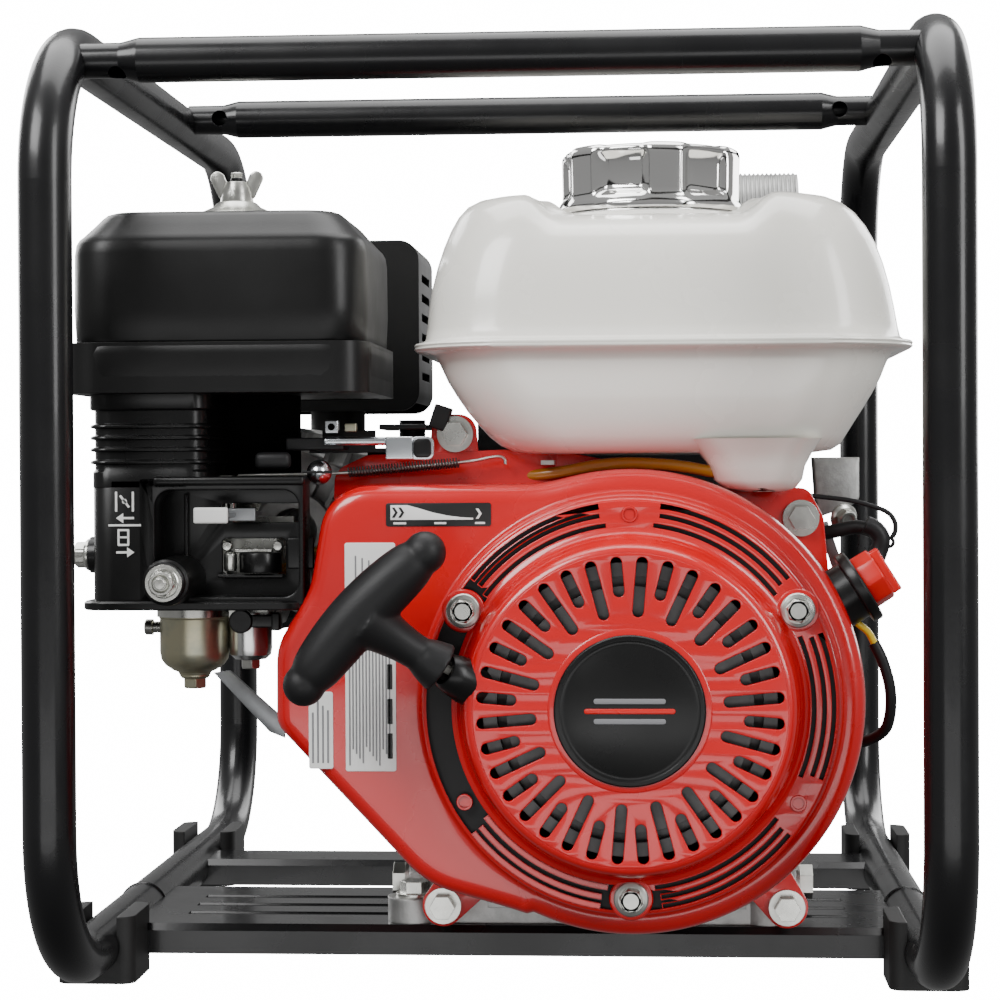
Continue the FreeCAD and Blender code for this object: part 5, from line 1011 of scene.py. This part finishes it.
# choke tab through its slot, and the fuel valve's tab beside the window
choke = block(
    "choke_tab", (-134.0, -176.2, 206.2), (-119.0, -173.4, 213.2), "label_white", "choke_lever",
    "grey_plastic", 1.0)
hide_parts("choke_lever")
block("choke_blade", (-122.0, -157.0, 206.8), (-110.0, -155.2, 212.6), *CHOKE, 0.6)
plate(
    "choke_arm",
    [
        [
            (-112.4, -122.0), (-117.6, -122.0), (-123.4, -150.0), (-124.0, -175.0), (-119.2, -175.0),
            (-118.6, -150.0)]],
    (0, 0, 210.6), (0, 0, 1), (0, 1, 0), 2.0, *CHOKE, bevel=0.3)
valve = block("valve_tab", (-106.0, -140.0, 157.4), (-102.0, -132.0, 165.4), *VALVE, 0.8)
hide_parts("fuel_valve_lever")
block("valve_arm", (-121.0, -138.4, 158.6), (-103.0, -135.6, 164.4), *VALVE, 0.8)
turned(
    "valve_hub", [(0.0, 135.8), (5.4, 135.8), (5.4, 138.6), (4.8, 139.2), (0.0, 139.2)], (-120, 0, 161.5),
    (0, -1, 0), *VALVE, steps=40)
block("pump_tab", (-96.6, -153.4, 185.6), (-84.6, -151.2, 199.4), *BLACK, 0.8)

# ------------------------------------------------------------------ throttle lever and its bracket
lever = block("lever_tab", (-53.0, -150.0, 233.6), (-40.6, -147.8, 243.8), *LEVER, 0.8)
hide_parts("throttle_lever")
plate(
    "lever_end", [box_loop(-42.4, 233.4, -31.6, 243.8, 3.0)], (0, -149.2, 0), *FRONT, 2.4, *LEVER,
    bevel=0.5)
plate(
    "lever_pad", [box_loop(-40.4, 234.4, -32.6, 242.8, 2.2)], (0, -151.2, 0), *FRONT, 2.2, "smooth_black",
    "throttle_lever", "zinc_steel", bevel=0.6)
block("lever_arm", (-81.0, -149.2, 240.0), (-52.4, -141.0, 243.8), *LEVER, 1.6)
plate(
    "lever_plate", [[(-58, -141), (-46, -141), (-45, -108.4), (-54, -108.4)]], (0, 0, 243.6), (0, 0, 1),
    (0, 1, 0), 1.6, *LEVER_ZINC, bevel=0.2)
turned(
    "lever_ring", [(6.6, 242.0), (10.6, 242.0), (10.6, 243.6), (6.6, 243.6), (6.6, 242.0)],
    (-46, -100, 0), (0, 0, 1), *LEVER_ZINC, steps=48)
block(
    "bracket_bar", (-58.0, -131.0, 247.2), (-36.6, -97.0, 249.6), "smooth_black", "chassis",
    "black_paint", 0.6)
block("bracket_nut", (-81.2, -141.0, 245.4), (-75.2, -136.4, 251.4), *BRIGHT, 0.6)
# the nut's hole is a dead-black disc on its face: painted shade, not a cut
turned(
    "bracket_nut_hole_shade", [(0.0, 141.05), (1.6, 141.05), (1.6, 141.3), (0.0, 141.3)], (-78.2, 0, 248.4),
    (0, -1, 0), "painted_shade_black", "chassis", "zinc_steel", steps=24)
block("bracket_tag", (-72.6, -138.0, 246.2), (-67.4, -134.0, 250.0), *YELLOW, 0.5)
block("idle_stop", (-110.0, -159.6, 229.8), (-94.0, -153.0, 237.2), *MATTE, 3.0)
block("link_block", (-98.0, -146.0, 238.0), (-72.0, -120.0, 243.6), *MATTE, 1.0)
turned(
    "dome_bolt", [(5.4, 152.0), (5.6, 153.0), (5.2, 155.0), (4.0, 157.2), (2.2, 158.6), (0.0, 159.2)],
    (-82.0, 0, 228.2), (0, -1, 0), *BRIGHT, steps=40)
# the screw slot is a matte black bar through the dome: painted shade, not a cut
block(
    "dome_slot_shade", (-88.6, -159.6, 227.7), (-76.0, -156.2, 228.9), "matte_black", "chassis", "zinc_steel",
    0.3)
block(
    "hose_clip", (-34.6, -129.0, 247.0), (-26.6, -121.0, 258.0), *MATTE, 1.0,
    Matrix.Rotation(math.radians(18), 3, "Y"))

# ------------------------------------------------------------------ behind the fan cover on the right
plate(
    "rear_casting",
    [filleted([(140, 234, 0), (162, 234, 0), (162, 213, 4), (153, 209, 3), (142, 205.4, 0)], 6)],
    (0, -60, 0), *FRONT, 14.0, "cast_aluminium", "chassis", "cast_aluminium", bevel=1.4)
hexagon("rear_bolt", (151.6, -97, 206.4), (0.35, -0.9, -0.25), 8.0, 6.0, *ZINC, washer=6.4)
plate(
    "rear_strap", [[(139.4, 204.0), (144.4, 204.6), (151.4, 184.0), (146.4, 183.0)]], (0, -100, 0),
    *FRONT, 2.0, "grey_metal", "chassis", "zinc_steel", bevel=0.4)
wire(
    "rear_band",
    smoothed([(136, -108, 198.6), (146, -110, 200.2), (156, -112, 202.2), (163, -114, 201.0)], 10), 3.2,
    *MATTE)
wire(
    "switch_boot",
    smoothed(
        [
            (160, -116, 203.4), (164.4, -116, 201.2), (167.0, -116, 196.8), (165.6, -116, 190.4),
            (162.4, -118, 184.0)],
        8),
    4.2, *MATTE, around=20)
wire(
    "lead_tie",
    smoothed(
        [
            (126, -114, 217.4), (133.7, -115, 216.6), (138.8, -115, 216.1), (153.4, -115, 214.3),
            (165.3, -115, 211.0), (170.8, -115, 208.3), (173.4, -115, 204.3), (173.5, -115, 200.4),
            (172.2, -115, 197.6)],
        8),
    1.1, *MATTE)
wire(
    "lead_tie_eye",
    [
        (170.6 + 2.1 * math.cos(t), -115, 195.4 + 2.1 * math.sin(t))
        for t in np.linspace(0, TAU, 24, endpoint=False)],
    0.8, *MATTE, closed=True, around=10)

# engine switch: black bezel, eight-sided red knob with a raised grip
switch_up = Vector((0.848, 0.0, 0.53))
switch_at = Vector((148.4, -150.0, 173.4))
base = turned(
    "switch_bezel",
    [(13.4, -14.0), (13.4, 4.0), (16.4, 4.6), (16.8, 5.4), (16.8, 8.4), (16.2, 9.2), (0.0, 9.2)],
    tuple(switch_at), tuple(switch_up), *BLACK, steps=72)
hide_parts("engine_switch_base")
side, up, along = frame_of(switch_up)
knob_rings = []
for size, level in ((11.4, 9.4), (11.6, 9.9), (11.4, 17.4), (10.9, 18.2), (0.02, 18.2)):
    ring = []
    for i in range(64):
        a = TAU * i / 64
        flat = size / math.cos((a % (TAU / 8)) - TAU / 16) * 0.985
        ring.append(
            tuple(
                switch_at + switch_up * level + (
                    side * math.cos(a) + up * math.sin(a)) * min(flat, size * 1.05)))
    knob_rings.append(ring)
knob = skin("switch_knob", knob_rings, "red_plastic", "engine_switch", "red_plastic", sharp=24.0)
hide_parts("engine_switch_knob")
grip_turn = Matrix((( switch_up.x, 0.0, -switch_up.z), (0.0, 1.0, 0.0), (switch_up.z, 0.0, switch_up.x)))
reach = switch_at + switch_up * 20.0
block(
    "switch_grip", tuple(reach - Vector((2.4, 4.0, 10.4))), tuple(reach + Vector((2.4, 4.0, 10.4))),
    "red_plastic", "engine_switch", "red_plastic", 1.0, grip_turn)
lead = wire(
    "switch_wire",
    smoothed(
        [
            (150.6, -150, 164.0), (154.6, -150, 160.4), (158.4, -148, 157.2), (161.0, -146, 152.6),
            (162.0, -145, 149.0)],
        8),
    1.6, "yellow_lead", "chassis", "yellow_lead")
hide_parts("switch_lead")
wire(
    "switch_sleeve",
    smoothed(
        [
            (161.2, -145, 152.2), (164.8, -145, 144.8), (168.0, -144, 134.0), (168.8, -142, 124.0),
            (167.4, -138, 114.8), (163.6, -131, 109.6), (157.0, -123, 106.0), (149.0, -115, 104.0),
            (140.0, -108, 103.0)],
        8),
    2.5, *MATTE, around=18)

# ------------------------------------------------------------------ studio and camera
def softbox(name, at, aim, size, power):
    lamp = bpy.data.lights.new(name, "AREA")
    lamp.shape = "RECTANGLE"
    lamp.size, lamp.size_y = size
    lamp.energy = power
    thing = bpy.data.objects.new(name, lamp)
    bpy.context.scene.collection.objects.link(thing)
    thing.location = at
    thing.rotation_mode = "QUATERNION"
    thing.rotation_quaternion = (Vector(aim) - Vector(at)).to_track_quat("-Z", "Y")


target = (0.0, 0.0, 0.2)
softbox("key_left", (-1.0, -1.3, 1.35), target, (1.0, 0.8), 34.0)
softbox("key_right", (1.3, -1.2, 0.9), target, (0.5, 1.3), 20.0)
softbox("overhead", (0.0, 0.1, 1.6), target, (1.6, 1.2), 34.0)
softbox("back_left", (-1.3, 1.3, 0.9), target, (0.9, 1.2), 22.0)
softbox("back_right", (1.2, 1.5, 0.8), target, (0.9, 1.2), 22.0)
softbox("low_front", (0.1, -1.6, -0.2), target, (1.8, 0.4), 5.0)

world = bpy.data.worlds.new("studio")
bpy.context.scene.world = world
world.use_nodes = True
tree = world.node_tree
sky = tree.nodes["Background"]
where = tree.nodes.new("ShaderNodeTexCoord")
split = tree.nodes.new("ShaderNodeSeparateXYZ")
ramp = tree.nodes.new("ShaderNodeMapRange")
ramp.inputs["From Min"].default_value = -1.0
ramp.inputs["From Max"].default_value = 1.0
ramp.inputs["To Min"].default_value = 0.12
ramp.inputs["To Max"].default_value = 0.50
tree.links.new(where.outputs["Generated"], split.inputs["Vector"])
tree.links.new(split.outputs["Z"], ramp.inputs["Value"])
tree.links.new(ramp.outputs["Result"], sky.inputs["Strength"])
sky.inputs["Color"].default_value = (1.0, 1.0, 1.0, 1.0)

# a white room seen by the camera alone, so that the background is plain in every view
shell = bmesh.new()
bmesh.ops.create_icosphere(shell, subdivisions=4, radius=12.0)
bmesh.ops.reverse_faces(shell, faces=shell.faces)
room_mesh = bpy.data.meshes.new("room")
shell.to_mesh(room_mesh)
shell.free()
room = bpy.data.objects.new("room", room_mesh)
bpy.context.scene.collection.objects.link(room)
glow = bpy.data.materials.new("room_white")
glow.use_nodes = True
glow.node_tree.nodes.clear()
light = glow.node_tree.nodes.new("ShaderNodeEmission")
light.inputs["Color"].default_value = (1, 1, 1, 1)
light.inputs["Strength"].default_value = 16.0
out = glow.node_tree.nodes.new("ShaderNodeOutputMaterial")
glow.node_tree.links.new(light.outputs["Emission"], out.inputs["Surface"])
room_mesh.materials.append(glow)
room.visible_diffuse = False
room.visible_glossy = False
room.visible_transmission = False
room.visible_shadow = False
room.visible_volume_scatter = False

yaw, pitch, roll = math.radians(3.761), math.radians(0.682), math.radians(-0.302)
right = Vector((math.cos(yaw), math.sin(yaw), 0))
ahead = Vector((-math.sin(yaw), math.cos(yaw), 0))
sky_up = Vector((0, 0, 1))
look_along = ahead * math.cos(pitch) - sky_up * math.sin(pitch)
look_up = sky_up * math.cos(pitch) + ahead * math.sin(pitch)
cam_right = right * math.cos(roll) + look_up * math.sin(roll)
cam_up = look_up * math.cos(roll) - right * math.sin(roll)
camera = bpy.data.cameras.new("camera")
camera.lens = 88.056
camera.sensor_width = 36.0
camera.clip_start = 0.05
camera.clip_end = 60.0
eye = bpy.data.objects.new("camera", camera)
bpy.context.scene.collection.objects.link(eye)
eye.matrix_world = Matrix(
    [
        [cam_right[i], cam_up[i], -look_along[i], (0.0683, -1.225, 0.2284)[i]]
        for i in range(3)] + [[0, 0, 0, 1]])
bpy.context.scene.camera = eye
